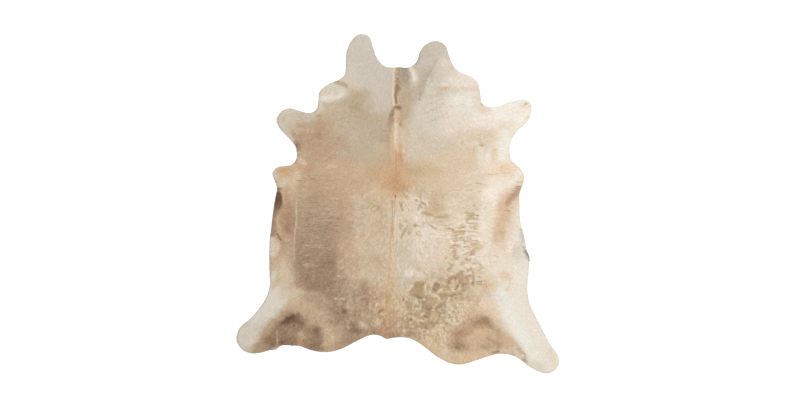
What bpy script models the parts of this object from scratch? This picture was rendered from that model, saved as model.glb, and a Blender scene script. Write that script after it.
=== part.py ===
"""A cowhide rug: one whole hide, laid out flat on the floor with its coat up.

The neck points along +Y and the tail along -Y, and the origin is on the floor under the
middle of the hide. The middle lies flat. Along its packing creases the hide buckles up a few
millimetres, and around the rim its thin edges lift a little off the floor.
"""

import math
from collections import namedtuple

import bmesh
import bpy
import numpy as np
from mathutils import Vector
from mathutils.geometry import delaunay_2d_cdt

# Sizes in metres.
THICKNESS = 0.004  # the tanned skin, with its short coat lying flat on it
RIM_STEP = 0.025  # between the points along the rim
FOLD_STEP = 0.029  # between the points where the hide isn't flat
FLAT_STEP = 0.080  # between the points where it lies flat
CLEAR_OF_RIM = 0.016  # no inner point is nearer to the rim than this
CREASE_ROWS = (-0.95, -0.5, 0.0, 0.5, 0.95)  # rows of points along a crease, as shares of its half width
CURVE_SAMPLES = 24  # points on the smooth rim between two landmarks, before it is divided evenly

# Colour of the coat where nothing marks it, and how matt it is.
COAT_COLOUR = (0.56, 0.46, 0.35, 1.0)
COAT_ROUGHNESS = 0.72

# The rim, clockwise from the neck notch as seen from above. Each stretch has its landmarks as
# (across, along), in metres from the middle of the hide.
RIM = {
    "neck notch": ((-0.050, 0.905), (0.010, 0.906), (0.072, 0.905)),
    "right neck lobe": (
        (0.123, 0.945), (0.146, 1.012), (0.180, 1.054), (0.250, 1.080),
        (0.312, 1.051), (0.335, 0.990), (0.364, 0.920),
    ),
    "right cheek": (
        (0.412, 0.872), (0.485, 0.843), (0.527, 0.803), (0.545, 0.720), (0.556, 0.662),
    ),
    "right foreleg": (
        (0.612, 0.640), (0.672, 0.650), (0.735, 0.673), (0.790, 0.686), (0.845, 0.689),
        (0.876, 0.672), (0.884, 0.636), (0.873, 0.574), (0.842, 0.528), (0.800, 0.494),
    ),
    "right armpit": ((0.758, 0.437), (0.741, 0.390), (0.741, 0.330), (0.753, 0.284)),
    "right elbow": ((0.800, 0.243), (0.833, 0.190), (0.824, 0.120), (0.806, 0.075)),
    "right flank": (
        (0.805, 0.000), (0.809, -0.110), (0.834, -0.208), (0.850, -0.300), (0.869, -0.350),
        (0.869, -0.410), (0.860, -0.500), (0.858, -0.580),
    ),
    "right hind leg": (
        (0.875, -0.670), (0.941, -0.806), (1.007, -0.931), (1.057, -1.004), (1.068, -1.042),
        (1.052, -1.090), (1.020, -1.115), (0.985, -1.124), (0.930, -1.112), (0.855, -1.070),
        (0.800, -1.027),
    ),
    "right bay": ((0.745, -1.003), (0.676, -0.995), (0.606, -1.011)),
    "right haunch": ((0.510, -1.042), (0.420, -1.065), (0.345, -1.056), (0.262, -1.016)),
    "rump": (
        (0.145, -0.930), (0.080, -0.895), (0.020, -0.886), (-0.045, -0.891), (-0.076, -0.897),
        (-0.125, -0.874), (-0.180, -0.871), (-0.257, -0.903),
    ),
    "left haunch": ((-0.385, -0.966), (-0.480, -0.984), (-0.580, -0.971), (-0.650, -0.946)),
    "left bay": ((-0.710, -0.941), (-0.780, -0.943), (-0.813, -0.969), (-0.850, -0.972)),
    "left hind leg": (
        (-0.930, -0.992), (-0.982, -0.992), (-1.029, -0.971), (-1.064, -0.915), (-1.068, -0.875),
        (-1.045, -0.817), (-0.985, -0.765), (-0.907, -0.675), (-0.868, -0.605),
    ),
    "left flank": (
        (-0.852, -0.540), (-0.853, -0.440), (-0.850, -0.240), (-0.834, -0.094), (-0.815, 0.035),
        (-0.804, 0.100), (-0.818, 0.160),
    ),
    "left elbow": ((-0.830, 0.205), (-0.800, 0.242), (-0.710, 0.257), (-0.678, 0.290)),
    "left armpit": ((-0.669, 0.330), (-0.682, 0.385), (-0.738, 0.448)),
    "left foreleg": (
        (-0.787, 0.505), (-0.802, 0.560), (-0.776, 0.610), (-0.715, 0.633), (-0.650, 0.614),
        (-0.590, 0.602),
    ),
    "left cheek": (
        (-0.542, 0.625), (-0.526, 0.685), (-0.520, 0.742), (-0.470, 0.790), (-0.390, 0.826),
        (-0.355, 0.858),
    ),
    "left neck lobe": (
        (-0.347, 0.912), (-0.346, 0.980), (-0.330, 1.045), (-0.285, 1.110), (-0.240, 1.126),
        (-0.192, 1.106), (-0.170, 1.046), (-0.140, 0.966), (-0.098, 0.916),
    ),
}

# Places where the hide stands off the floor: (across, along) of the middle, half its length and
# half its width, how far its length is turned from +X in degrees, and its height.
Lift = namedtuple("Lift", "across along half_length half_width turn height")

# Packing creases and wrinkles, long and narrow.
CREASES = {
    "notch wrinkle": Lift(0.082, 0.850, 0.085, 0.028, 92, 0.006),
    "right neck wrinkle": Lift(0.198, 0.820, 0.200, 0.038, 67, 0.007),
    "left shoulder crease": Lift(-0.500, 0.192, 0.190, 0.032, -5, 0.005),
    "left flank crease": Lift(-0.684, -0.196, 0.250, 0.027, 87, 0.006),
    "left haunch crease": Lift(-0.803, -0.830, 0.130, 0.025, 90, 0.004),
    "right shoulder crease": Lift(0.600, 0.188, 0.180, 0.030, 3, 0.005),
    "right flank crease": Lift(0.550, -0.180, 0.330, 0.030, 91, 0.005),
    "right haunch wrinkle": Lift(0.640, -0.880, 0.150, 0.035, 60, 0.005),
}

# Thin edges that lift off the floor, highest at the rim or just outside it.
EDGES = {
    "left neck tip": Lift(-0.240, 1.150, 0.130, 0.110, 0, 0.012),
    "right neck tip": Lift(0.262, 1.100, 0.120, 0.110, 0, 0.010),
    "right cheek": Lift(0.575, 0.735, 0.140, 0.085, 80, 0.010),
    "left cheek": Lift(-0.550, 0.730, 0.120, 0.080, 75, 0.009),
    "right foreleg tip": Lift(0.905, 0.655, 0.140, 0.130, 20, 0.014),
    "left foreleg tip": Lift(-0.830, 0.575, 0.130, 0.120, 10, 0.012),
    "right armpit": Lift(0.725, 0.360, 0.120, 0.060, 90, 0.007),
    "left armpit": Lift(-0.655, 0.350, 0.120, 0.060, 100, 0.007),
    "right elbow": Lift(0.865, 0.185, 0.130, 0.100, 95, 0.012),
    "left elbow": Lift(-0.855, 0.205, 0.110, 0.100, 90, 0.013),
    "left upper flank": Lift(-0.845, -0.020, 0.130, 0.070, 85, 0.009),
    "right flank curl": Lift(0.885, -0.285, 0.180, 0.100, 75, 0.018),
    "left lower flank": Lift(-0.890, -0.320, 0.200, 0.095, 90, 0.013),
    "right thigh edge": Lift(0.975, -0.790, 0.180, 0.075, -63, 0.010),
    "left thigh edge": Lift(-0.965, -0.690, 0.160, 0.070, 50, 0.009),
    "right hind foot": Lift(1.060, -1.085, 0.180, 0.130, -50, 0.014),
    "left hind foot": Lift(-1.085, -0.900, 0.160, 0.130, 60, 0.013),
    "right haunch": Lift(0.430, -1.095, 0.220, 0.100, -3, 0.010),
    "left haunch": Lift(-0.500, -1.015, 0.210, 0.090, 3, 0.010),
    "rump": Lift(-0.060, -0.920, 0.130, 0.070, 0, 0.008),
}


def clear_scene():
    for old in list(bpy.data.objects):
        bpy.data.objects.remove(old)


def smooth_rim():
    """The rim as evenly spaced points on a smooth closed curve through its landmarks."""
    marks = np.array([mark for stretch in RIM.values() for mark in stretch])
    share = np.linspace(0.0, 1.0, CURVE_SAMPLES, endpoint=False)[:, None]
    runs = []
    for i in range(len(marks)):
        before, start, end, after = (marks[(i + step) % len(marks)] for step in (-1, 0, 1, 2))
        runs.append(curve_between(before, start, end, after, share))
    fine = np.concatenate(runs)
    closed = np.vstack([fine, fine[:1]])
    travelled = np.concatenate([[0.0], np.cumsum(np.linalg.norm(np.diff(closed, axis=0), axis=1))])
    count = round(travelled[-1] / RIM_STEP)
    places = np.linspace(0.0, travelled[-1], count, endpoint=False)
    even = np.column_stack([np.interp(places, travelled, closed[:, axis]) for axis in (0, 1)])
    return even - (even.min(axis=0) + even.max(axis=0)) / 2


def curve_between(before, start, end, after, share):
    """A cubic from start to end that leaves and arrives in line with its neighbours, however
    unevenly the landmarks are spaced (a centripetal Catmull-Rom curve)."""
    gaps = [math.sqrt(np.linalg.norm(b - a)) for a, b in ((before, start), (start, end), (end, after))]
    leave = (start - before) / gaps[0] - (end - before) / (gaps[0] + gaps[1]) + (end - start) / gaps[1]
    arrive = (end - start) / gaps[1] - (after - start) / (gaps[1] + gaps[2]) + (after - end) / gaps[2]
    leave, arrive = leave * gaps[1], arrive * gaps[1]
    return (
        (2 * share**3 - 3 * share**2 + 1) * start
        + (share**3 - 2 * share**2 + share) * leave
        + (3 * share**2 - 2 * share**3) * end
        + (share**3 - share**2) * arrive
    )


def in_lift(points, lift):
    """How far each point is from the middle of a lift, as shares of its half length and width."""
    turn = math.radians(lift.turn)
    ahead = np.array([math.cos(turn), math.sin(turn)])
    aside = np.array([-ahead[1], ahead[0]])
    offset = points - (lift.across, lift.along)
    return offset @ ahead / lift.half_length, offset @ aside / lift.half_width


def height_at(points):
    """Height of the underside over the floor: soft mounds that end level with the floor."""
    height = np.zeros(len(points))
    for lift in (*CREASES.values(), *EDGES.values()):
        ahead, aside = in_lift(points, lift)
        height += lift.height * np.maximum(0.0, 1.0 - ahead**2 - aside**2) ** 2
    return height


def grid(step):
    """Points of an even triangular grid that covers the whole hide."""
    reach = 1.3
    rows = np.arange(-reach, reach, step * math.sqrt(3) / 2)
    columns = np.arange(-reach, reach, step)
    return np.array([(x + step / 2 * (r % 2), y) for r, y in enumerate(rows) for x in columns])


def crease_points(lift):
    """Rows of points along a crease, so that its sides are straight and its top is one line."""
    turn = math.radians(lift.turn)
    ahead = np.array([math.cos(turn), math.sin(turn)])
    aside = np.array([-ahead[1], ahead[0]])
    count = round(2 * lift.half_length / FOLD_STEP)
    along = np.linspace(-1.0, 1.0, count + 1)
    points = []
    for row in CREASE_ROWS:
        end = math.sqrt(1.0 - row**2)
        for place in along * end:
            points.append(ahead * place * lift.half_length + aside * row * lift.half_width)
    return np.array(points) + (lift.across, lift.along)


def inside(points, rim):
    """Which points lie within the closed rim: a ray along +X crosses it an odd number of times."""
    ends = np.roll(rim, -1, axis=0)
    found = np.zeros(len(points), bool)
    for (x0, y0), (x1, y1) in zip(rim, ends):
        spans = (y0 > points[:, 1]) != (y1 > points[:, 1])
        if y0 != y1:
            found ^= spans & (points[:, 0] < x0 + (points[:, 1] - y0) * (x1 - x0) / (y1 - y0))
    return found


def apart(points, others, gap):
    """The points that are further than a gap from all the others."""
    nearest = np.full(len(points), np.inf)
    for other in others:
        nearest = np.minimum(nearest, np.hypot(*(points - other).T))
    return points[nearest > gap]


def inner_points(rim):
    """Points inside the rim: rows along the creases, a fine grid where the hide lifts, and a
    coarse one where it lies flat."""
    creases = np.concatenate([crease_points(lift) for lift in CREASES.values()])
    creases = apart(creases[inside(creases, rim)], rim, CLEAR_OF_RIM)
    fine = grid(FOLD_STEP)
    fine = fine[inside(fine, rim) & (height_at(fine) > 0.0)]
    fine = apart(apart(fine, rim, CLEAR_OF_RIM), creases, FOLD_STEP / 2)
    chosen = np.concatenate([creases, fine])
    coarse = grid(FLAT_STEP)
    coarse = coarse[inside(coarse, rim)]
    coarse = apart(apart(coarse, rim, FLAT_STEP / 2), chosen, FLAT_STEP / 2)
    return np.concatenate([chosen, coarse])


def underside(rim):
    """The underside as a triangulated mesh within the rim."""
    flat = np.concatenate([rim, inner_points(rim)])
    count = len(rim)
    loop = [(i, (i + 1) % count) for i in range(count)]
    points, _, faces, *_ = delaunay_2d_cdt([Vector(p) for p in flat], loop, [], 1, 1e-6)
    points = np.array([tuple(p) for p in points])
    height = height_at(points)
    bm = bmesh.new()
    corners = [bm.verts.new((x, y, z)) for (x, y), z in zip(points, height)]
    for face in faces:
        bm.faces.new([corners[i] for i in face])
    bmesh.ops.recalc_face_normals(bm, faces=bm.faces[:])
    return bm


def coat_material():
    material = bpy.data.materials.new("coat")
    material.use_nodes = True
    shader = material.node_tree.nodes["Principled BSDF"]
    shader.inputs["Base Color"].default_value = COAT_COLOUR
    shader.inputs["Roughness"].default_value = COAT_ROUGHNESS
    shader.inputs["Metallic"].default_value = 0.0
    return material


def make_hide():
    """The hide: its underside, and the same surface again one thickness higher, joined by the rim."""
    bm = underside(smooth_rim())
    grown = bmesh.ops.extrude_face_region(bm, geom=bm.faces[:])
    top = [item for item in grown["geom"] if isinstance(item, bmesh.types.BMVert)]
    bmesh.ops.translate(bm, verts=top, vec=(0.0, 0.0, THICKNESS))
    bmesh.ops.recalc_face_normals(bm, faces=bm.faces[:])
    mesh = bpy.data.meshes.new("hide")
    bm.to_mesh(mesh)
    bm.free()
    mesh.shade_smooth()
    mesh.set_sharp_from_angle(angle=math.radians(40))
    mesh.materials.append(coat_material())
    hide = bpy.data.objects.new("hide", mesh)
    bpy.context.scene.collection.objects.link(hide)
    return hide


def main():
    clear_scene()
    make_hide()


main()
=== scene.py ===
import math
from collections import namedtuple

import bpy
import numpy as np
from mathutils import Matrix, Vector
from mathutils.bvhtree import BVHTree
from mathutils.geometry import delaunay_2d_cdt


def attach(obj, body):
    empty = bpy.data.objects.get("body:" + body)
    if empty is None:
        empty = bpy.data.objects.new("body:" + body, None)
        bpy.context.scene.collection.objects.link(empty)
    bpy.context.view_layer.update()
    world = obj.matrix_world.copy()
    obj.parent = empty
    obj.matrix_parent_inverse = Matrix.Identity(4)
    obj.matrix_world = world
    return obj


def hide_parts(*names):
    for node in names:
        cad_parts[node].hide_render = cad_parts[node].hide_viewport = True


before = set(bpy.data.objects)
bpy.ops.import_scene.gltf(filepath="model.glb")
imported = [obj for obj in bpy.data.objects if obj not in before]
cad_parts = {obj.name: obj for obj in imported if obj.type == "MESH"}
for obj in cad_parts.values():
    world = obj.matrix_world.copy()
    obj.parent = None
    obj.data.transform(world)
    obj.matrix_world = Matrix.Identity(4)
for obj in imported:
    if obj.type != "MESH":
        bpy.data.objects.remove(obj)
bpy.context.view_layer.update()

# The tanned skin under the coat.
SKIN_THICKNESS = 0.0022
RIM_STEP = 0.007  # between the points along the rim
RIM_SAMPLES = 8  # points on the smooth rim between two of the solid's, before it is divided evenly
TOP_STEP = 0.0082  # between the points of the skin's upper side
UNDER_STEP = 0.018  # between the points of its underside
CLEAR_OF_RIM = 0.55  # no inner point is nearer to the rim than this share of a step
EDGE_WAVER = 0.0008  # how far the knife's cut wavers
SKIN_WAVE = 0.0005  # how high the skin's small waves are
SKIN_SHADE = 0.80  # painted shade between the locks: share of the coat's brightness that the skin under them is painted
SHARP_ANGLE = 50  # degrees: an edge that turns more is a sharp one
ISLAND_WIDTHS = (0.78, 0.20)  # of the upper side and of the underside, in the skin's UV map
ISLAND_STARTS = (0.0, 0.80)

# The coat: short locks that lie almost flat. The pairs are the least and the most share of a
# lock's usual length, width and height.
LOCKS = 196000
LOCK_LENGTH = 0.0115
LOCK_WIDTH = 0.0035
LOCK_RISE = 0.0016  # how far a lock's tip stands off the skin
LOCK_RIDGE = 0.0009  # how far its middle does
ROOT_DEPTH = 0.0003  # how deep its root is in the skin
RIDGE_AT = 0.35  # share of its length from its root to its highest place
LENGTHS = (0.75, 1.2)
WIDTHS = (0.7, 1.2)
LIFTS = (0.7, 1.3)
SWING = 11.0  # degrees that a lock commonly turns from the way the coat is combed
TUFT_SWING = 0.25  # radians that whole tufts do
BEND = 0.10  # how far a tip commonly bends aside, as a share of the length
ROOT_SCATTER = 0.45  # how far a root is moved out of line, as a share of the gap between two
ROOT_CLEARANCE = 0.0012  # no root is nearer to the rim
OVERHANG = 0.0025  # how far a lock reaches past the skin's cut edge
LEAST_OUTWARD = 0.05  # no lock counts as pointing out of the rim less than this
LOCK_TONE = 0.034  # how much brighter or darker than its place a lock commonly is
TONE_LIMITS = (0.75, 1.25)
ROOT_TONE = 0.93  # how bright its root is, and its tip
TIP_TONE = 1.04
NORMAL_ASIDE = 0.45  # how far the shading of a lock's sides leans outward
NORMAL_AHEAD = 0.25  # and that of its tip ahead
STRAND_SPREAD = 50.0  # how far the locks' places in the pattern of strands are spread
STRANDS_A_METRE = (60.0, 2400.0, 1.0)  # along a lock and across it
COAT_SEED = 2024
COATS = ("coat_neck", "coat_shoulders", "coat_loins", "coat_haunches")

# Painted shade on the coat at the rim: how much darker it is painted there, from how far away it
# fades in and where it is full, and how much more painted shadow it gets where the edge faces
# left, away from the sun.
RIM_DARKER = 0.16
RIM_FADE = (0.010, 0.001)
RIM_DARKER_LEFT = 0.10
RIM_FADE_LEFT = (0.018, 0.002)
FACES_LEFT = (-0.2, -0.9)

# The camera looks straight down. One pixel of the photograph is 6.64 mm of the floor, and the
# middle of its frame lies a little off the hide's origin.
PHOTO_WIDTH = 800
METRES_A_PIXEL = 0.00664
FRAME_MIDDLE = (0.012, 0.023)
LENS = 85.0
SENSOR = 36.0
FAR_CLIP = 200.0

# Light and floor: the brightness of the sky at the horizon and overhead, and where between them
# it changes, as the upward part of the direction; the sun's strength, its width in degrees and
# the way to it.
SKY_BRIGHTNESS = (1.0, 0.76)
SKY_CHANGE = (0.10, 0.50)
SUN = 2.5
SUN_WIDTH = 30
TOWARDS_SUN = (0.62, 0.42, 1.05)
FLOOR_REACH = 40.0
FLOOR_LEVEL = -0.0004

# Share of each tone's red, green and blue that the surface itself gives back under this light.
EXPOSURE = np.array([0.869, 0.861, 0.851])

# The suede of the underside, as linear colours: what its points are painted, and the two that its
# material varies between.
SUEDE = (0.60, 0.52, 0.42)
SUEDE_DARK = (0.50, 0.41, 0.31, 1.0)
SUEDE_LIGHT = (0.68, 0.60, 0.49, 1.0)

# The map of the solid's folds.
MAP_STEP = 0.010
MAP_REACH = 1.25
MAP_SMOOTHINGS = 5
MAP_CARRIED = 6  # steps that the heights are carried on past the rim
MAP_MARGIN = 1.001  # a place is read at least this many steps from the map's end
UNDER_THE_FLOOR = -1.0  # where the rays that measure it start
DOWNWARD = -0.5  # a face whose normal points down more than this is part of the underside
SAME_PLACE = 4  # decimals to which two corners agree
CDT_INSIDE = 1  # the triangles inside the loop alone
CDT_CLOSE = 1e-7
TINY = 1e-6  # in place of nothing, where something is divided by it

# Fields of noise: how long the bumps are, which may be (across, along), the seed, and how many
# layers, each half as large as the one before.
Noise = namedtuple("Noise", "size seed layers", defaults=(1,))

FIELDS = {
    "knife": Noise(0.030, 51, 3),
    "ridge across": Noise(0.05, 61, 3),
    "ridge along": Noise(0.05, 65, 3),
    "skin waves": Noise(0.055, 71, 3),
    "tufts": Noise(0.06, 81, 3),
    "curl across": Noise(0.045, 31, 3),
    "curl along": Noise(0.045, 41, 3),
    "jag across": Noise((0.030, 0.0070), 61),
    "jag along": Noise(0.0090, 62),
    "wobble across": Noise(0.010, 53),
    "wobble along": Noise(0.010, 54),
    "ticks": Noise((0.038, 0.0080), 7),
    "tick clusters": Noise((0.10, 0.03), 8),
    "streaks": Noise((0.070, 0.0075), 17),
    "mottle": Noise(0.030, 9, 3),
    "flecks": Noise(0.020, 13, 2),
    "worms": Noise(0.034, 47, 2),
    "beads": Noise(0.011, 19),
    "chips": Noise(0.0145, 63),
    "plates": Noise(0.046, 56),
    "scraps": Noise(0.020, 57),
    "vein stretches": Noise(0.060, 55, 3),
    "thread stretches": Noise(0.040, 58, 3),
    "hair": Noise(0.0048, 91),
    "grain": Noise(0.0042, 92),
    "blots": Noise(0.016, 93),
    "clouds": Noise(0.050, 94, 3),
    "hues": Noise(0.030, 97, 3),
    "warp across": Noise(0.09, 21, 3),
    "warp along": Noise(0.09, 25, 3),
    "fine across": Noise(0.018, 28, 2),
    "fine along": Noise(0.018, 38, 2),
    "rows": Noise((0.12, 0.0075), 33),
    "rim grain": Noise(0.0095, 35),
    "rim hair": Noise(0.0055, 36),
}
LATTICE = 128  # cells after which a field repeats
LATTICE_START = 8 * LATTICE  # added to each place, so that none is negative
FAR_CELL = 9.0  # in cells: further than the middle of any cell that is looked at
STREAK_STEPS = 3  # steps each way along the hair that a streak is drawn out
STREAK_STEP = 0.0030

# How far the fields move the ground, the marks, the patterns in them and the ridges.
GROUND_WARP = 0.010
GROUND_FINE = 0.004
MARK_WARP = 0.004
MARK_FINE = 0.0045
FRAY = 0.020
CURL = 0.012
JAG = 0.004
WOBBLE_CURL = 0.006
WOBBLE = 0.0035
RIDGE_BENDS = 0.004

# From which value of its field each pattern starts to show, and from which it shows fully.
SHOWS = {
    "ticks": (0.00, 0.30),
    "streaks": (-0.30, 0.50),
    "mottle": (-0.25, 0.25),
    "flecks": (-0.05, 0.25),
    "worms": (0.20, 0.06),
    "beads": (-0.30, 0.30),
    "plates": (0.40, 0.75),
    "scraps": (0.45, 0.70),
    "chips": (0.30, 0.20),
    "slits": (0.74, 0.84),
    "veins": (0.0055, 0.0015),
    "vein stretches": (-0.55, 0.10),
    "threads": (0.0035, 0.0008),
    "thread stretches": (-0.30, 0.20),
}
TICK_CLUSTERS = 0.5
BEADS_LEAST = 0.45  # how strongly a beaded mark covers between its beads
FRAYED_LEAST = 0.40

# How strongly each kind of fine variation shows on a fully mottled ground, as sRGB bytes.
HAIR_SHOWS = 3.8
GRAIN_SHOWS = 15.5
BLOTS_SHOW = 3.0
CLOUDS_SHOW = 2.5
HUES_SHOW = 2.5
HUE_TINT = np.array([0.6, -0.25, -0.9])

# How an area of the ground fades into its neighbours, how grainy a mark's rim is, and which marks
# have crisper rims.
GROUND_CORE = 0.30  # the larger, the less an area keeps to itself near its middle
GROUND_FALL = -3.0  # the power by which it falls off
RIM_GRAIN = 0.7
RIM_HAIR = 0.25
GRAINY = 0.16
GRAINY_IF_SOFT = 0.28
FINE_HALF_WIDTH = 0.013
FINE_SOFT = 0.70
SPAN = 1.5  # how far a hard mark can reach, in its own half widths
PLATE_SIDE = 0.012  # how wide a plate's soft side is
SHIFT_FADE = (1.5, 0.5)  # where a shift starts and where it is full, 1 being its rim

# How the coat is combed: the place, how far its direction reaches, and the direction in degrees
# from +X. These are the right side's, and the left side's mirror them.
Comb = namedtuple("Comb", "across along reach turn")

COMBS = [
    Comb(0.00, 0.60, 0.30, -88),
    Comb(0.00, 0.00, 0.30, -80),
    Comb(0.00, -0.60, 0.30, -84),
    Comb(0.22, 0.90, 0.22, -72),
    Comb(0.45, 0.65, 0.20, -35),
    Comb(0.85, 0.62, 0.18, 12),
    Comb(0.45, 0.25, 0.25, -10),
    Comb(0.78, 0.15, 0.15, -8),
    Comb(0.45, -0.20, 0.25, -4),
    Comb(0.80, -0.30, 0.20, -20),
    Comb(0.40, -0.62, 0.22, -38),
    Comb(0.42, -0.95, 0.18, -62),
    Comb(0.72, -0.72, 0.15, -56),
    Comb(0.95, -1.00, 0.20, -58),
]
PARTING = 0.02  # half the width over which the hair parts at the spine
COMB_LEAST = 1e-9  # how much each direction counts at least, however far away

# Narrow ridges on the crests of the packing creases: the places that each passes, half its width
# and its height.
Ridge = namedtuple("Ridge", "places half_width height")

RIDGES = [
    Ridge([(-0.675, 0.05), (-0.674, -0.14), (-0.690, -0.24), (-0.692, -0.42)], 0.020, 0.0016),
    Ridge([(-0.66, 0.205), (-0.52, 0.190), (-0.36, 0.175)], 0.020, 0.0010),
    Ridge([(-0.62, 0.250), (-0.50, 0.247), (-0.40, 0.250)], 0.018, 0.0008),
    Ridge([(-0.805, -0.76), (-0.801, -0.94)], 0.018, 0.0014),
    Ridge([(0.46, 0.195), (0.60, 0.188), (0.75, 0.198)], 0.020, 0.0010),
    Ridge([(0.555, 0.10), (0.545, -0.18), (0.550, -0.48)], 0.022, 0.0010),
    Ridge([(0.285, 0.975), (0.235, 0.905), (0.20, 0.84), (0.17, 0.78), (0.15, 0.70)], 0.022, 0.0014),
    Ridge([(0.080, 0.90), (0.085, 0.83), (0.070, 0.76)], 0.020, 0.0014),
    Ridge([(-0.40, 0.81), (-0.335, 0.77), (-0.22, 0.735)], 0.020, 0.0014),
    Ridge([(0.20, 0.715), (0.28, 0.755), (0.40, 0.74), (0.52, 0.70)], 0.020, 0.0012),
]

# Areas that are yellower than their tones: the middle, half the length and half the width, the
# turn in degrees, and how much is added to the red, green and blue bytes.
Shift = namedtuple("Shift", "across along half_length half_width turn change")

SHIFTS = [
    Shift(-0.04, -0.76, 0.14, 0.10, 90, (0.5, 0.0, -3.5)),
    Shift(-0.24, -0.72, 0.12, 0.10, 0, (0.0, -0.5, -2.5)),
    Shift(0.20, -0.80, 0.18, 0.09, 0, (1.0, 0.5, -2.0)),
    Shift(0.22, -0.62, 0.18, 0.12, 0, (1.5, 0.0, -3.0)),
    Shift(0.43, -0.56, 0.14, 0.10, 90, (2.5, 1.0, -1.0)),
    Shift(0.52, -0.87, 0.17, 0.12, 0, (1.0, -1.5, -3.5)),
    Shift(0.01, 0.14, 0.10, 0.08, 90, (1.0, -1.5, -4.5)),
    Shift(0.02, 0.62, 0.12, 0.06, 90, (0.0, -2.0, -3.5)),
    Shift(0.00, 0.40, 0.14, 0.06, 90, (1.0, -0.5, -2.5)),
    Shift(-0.40, 0.10, 0.14, 0.12, 0, (0.0, -2.0, -3.0)),
]


def smooth_step(low, high, value):
    share = np.clip((value - low) / (high - low), 0.0, 1.0)
    return share * share * (3.0 - 2.0 * share)


def lattice(points, size, seed):
    """Smooth noise between -1 and 1 whose bumps are as long as size."""
    table = np.random.default_rng(seed).uniform(-1.0, 1.0, (LATTICE, LATTICE))
    place = points / size + LATTICE_START
    corner = np.floor(place).astype(int)
    share = smooth_step(0.0, 1.0, place - corner)
    x0, y0 = corner[:, 0] % LATTICE, corner[:, 1] % LATTICE
    x1, y1 = (x0 + 1) % LATTICE, (y0 + 1) % LATTICE
    low = table[x0, y0] * (1.0 - share[:, 0]) + table[x1, y0] * share[:, 0]
    high = table[x0, y1] * (1.0 - share[:, 0]) + table[x1, y1] * share[:, 0]
    return low * (1.0 - share[:, 1]) + high * share[:, 1]


def noise(name, points):
    """One of the fields of noise, between -1 and 1 at each point."""
    field = FIELDS[name]
    total = np.zeros(len(points))
    for layer in range(field.layers):
        total += lattice(points, np.array(field.size) / 2**layer, field.seed + layer) / 2**layer
    return total / (2.0 - 0.5 ** (field.layers - 1))


def noise_pair(name, points):
    """Two fields of noise, as the distance across and along that each point is moved."""
    return np.column_stack([noise(name + way, points) for way in (" across", " along")])


def hair_noise(name, points):
    """A field of noise drawn out along the way the hair lies."""
    ahead = comb_direction(points)
    steps = range(-STREAK_STEPS, STREAK_STEPS + 1)
    return sum(noise(name, points + ahead * (step * STREAK_STEP)) for step in steps) / len(steps) ** 0.5


def cells(name, points):
    """A field's cells: how far each point is from its cell's border, and a number between 0 and 1
    for its cell."""
    field = FIELDS[name]
    table = np.random.default_rng(field.seed).uniform(0.0, 1.0, (LATTICE, LATTICE, 3))
    place = points / field.size + LATTICE_START
    corner = np.floor(place).astype(int)
    nearest = np.full(len(points), FAR_CELL)
    second = np.full(len(points), FAR_CELL)
    value = np.zeros(len(points))
    for across in (-1, 0, 1):
        for along in (-1, 0, 1):
            spot = corner + (across, along)
            cell = table[spot[:, 0] % LATTICE, spot[:, 1] % LATTICE]
            gap = np.linalg.norm(spot + cell[:, :2] - place, axis=1)
            closer = gap < nearest
            second = np.where(closer, nearest, np.minimum(second, gap))
            value = np.where(closer, cell[:, 2], value)
            nearest = np.where(closer, gap, nearest)
    return (second - nearest) * field.size / 2.0, value


def comb_direction(points):
    """Unit vectors along which the hair lies: away from the spine and towards the tail."""
    side = np.tanh(points[:, 0] / PARTING)
    folded = np.column_stack([np.abs(points[:, 0]), points[:, 1]])
    total = np.zeros((len(points), 2))
    for comb in COMBS:
        gap = folded - (comb.across, comb.along)
        weight = np.exp(-(gap**2).sum(axis=1) / comb.reach**2) + COMB_LEAST
        turn = math.radians(comb.turn)
        total += weight[:, None] * (math.cos(turn), math.sin(turn))
    total[:, 0] *= side
    return total / np.linalg.norm(total, axis=1)[:, None]


def from_patch(points, area):
    """How far points are from a patch's middle: 1 is at its rim."""
    turn = math.radians(area.turn)
    ahead = np.array([math.cos(turn), math.sin(turn)])
    aside = np.array([-ahead[1], ahead[0]])
    offset = points - (area.across, area.along)
    return np.hypot(offset @ ahead / area.half_length, offset @ aside / area.half_width)


def from_line(points, places):
    """How far points are from a line through places."""
    nearest = np.full(len(points), np.inf)
    for start, end in zip(places[:-1], places[1:]):
        start, end = np.array(start), np.array(end)
        run = end - start
        share = np.clip((points - start) @ run / (run @ run), 0.0, 1.0)
        nearest = np.minimum(nearest, np.hypot(*(points - start - share[:, None] * run).T))
    return nearest


def inside(points, rim):
    """Which points lie within a closed rim: a ray along +X crosses it an odd number of times."""
    found = np.zeros(len(points), bool)
    for (x0, y0), (x1, y1) in zip(rim, np.roll(rim, -1, axis=0)):
        if y0 == y1:
            continue
        spans = (y0 > points[:, 1]) != (y1 > points[:, 1])
        found ^= spans & (points[:, 0] < x0 + (points[:, 1] - y0) * (x1 - x0) / (y1 - y0))
    return found


def reach_of(mark, points):
    """How far points are from a mark's middle or line: 1 is at its rim."""
    if isinstance(mark, Patch):
        return from_patch(points, mark)
    if isinstance(mark, Streak):
        return from_line(points, mark.places) / mark.half_width
    gap = from_line(points, mark.places + mark.places[:1])
    return 1.0 + np.where(inside(points, mark.places), -gap, gap) / PLATE_SIDE


def softness(mark):
    """How soft a mark's rim is."""
    if isinstance(mark, Plate) or mark.half_width > FINE_HALF_WIDTH:
        return mark.soft
    return mark.soft * FINE_SOFT


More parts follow.
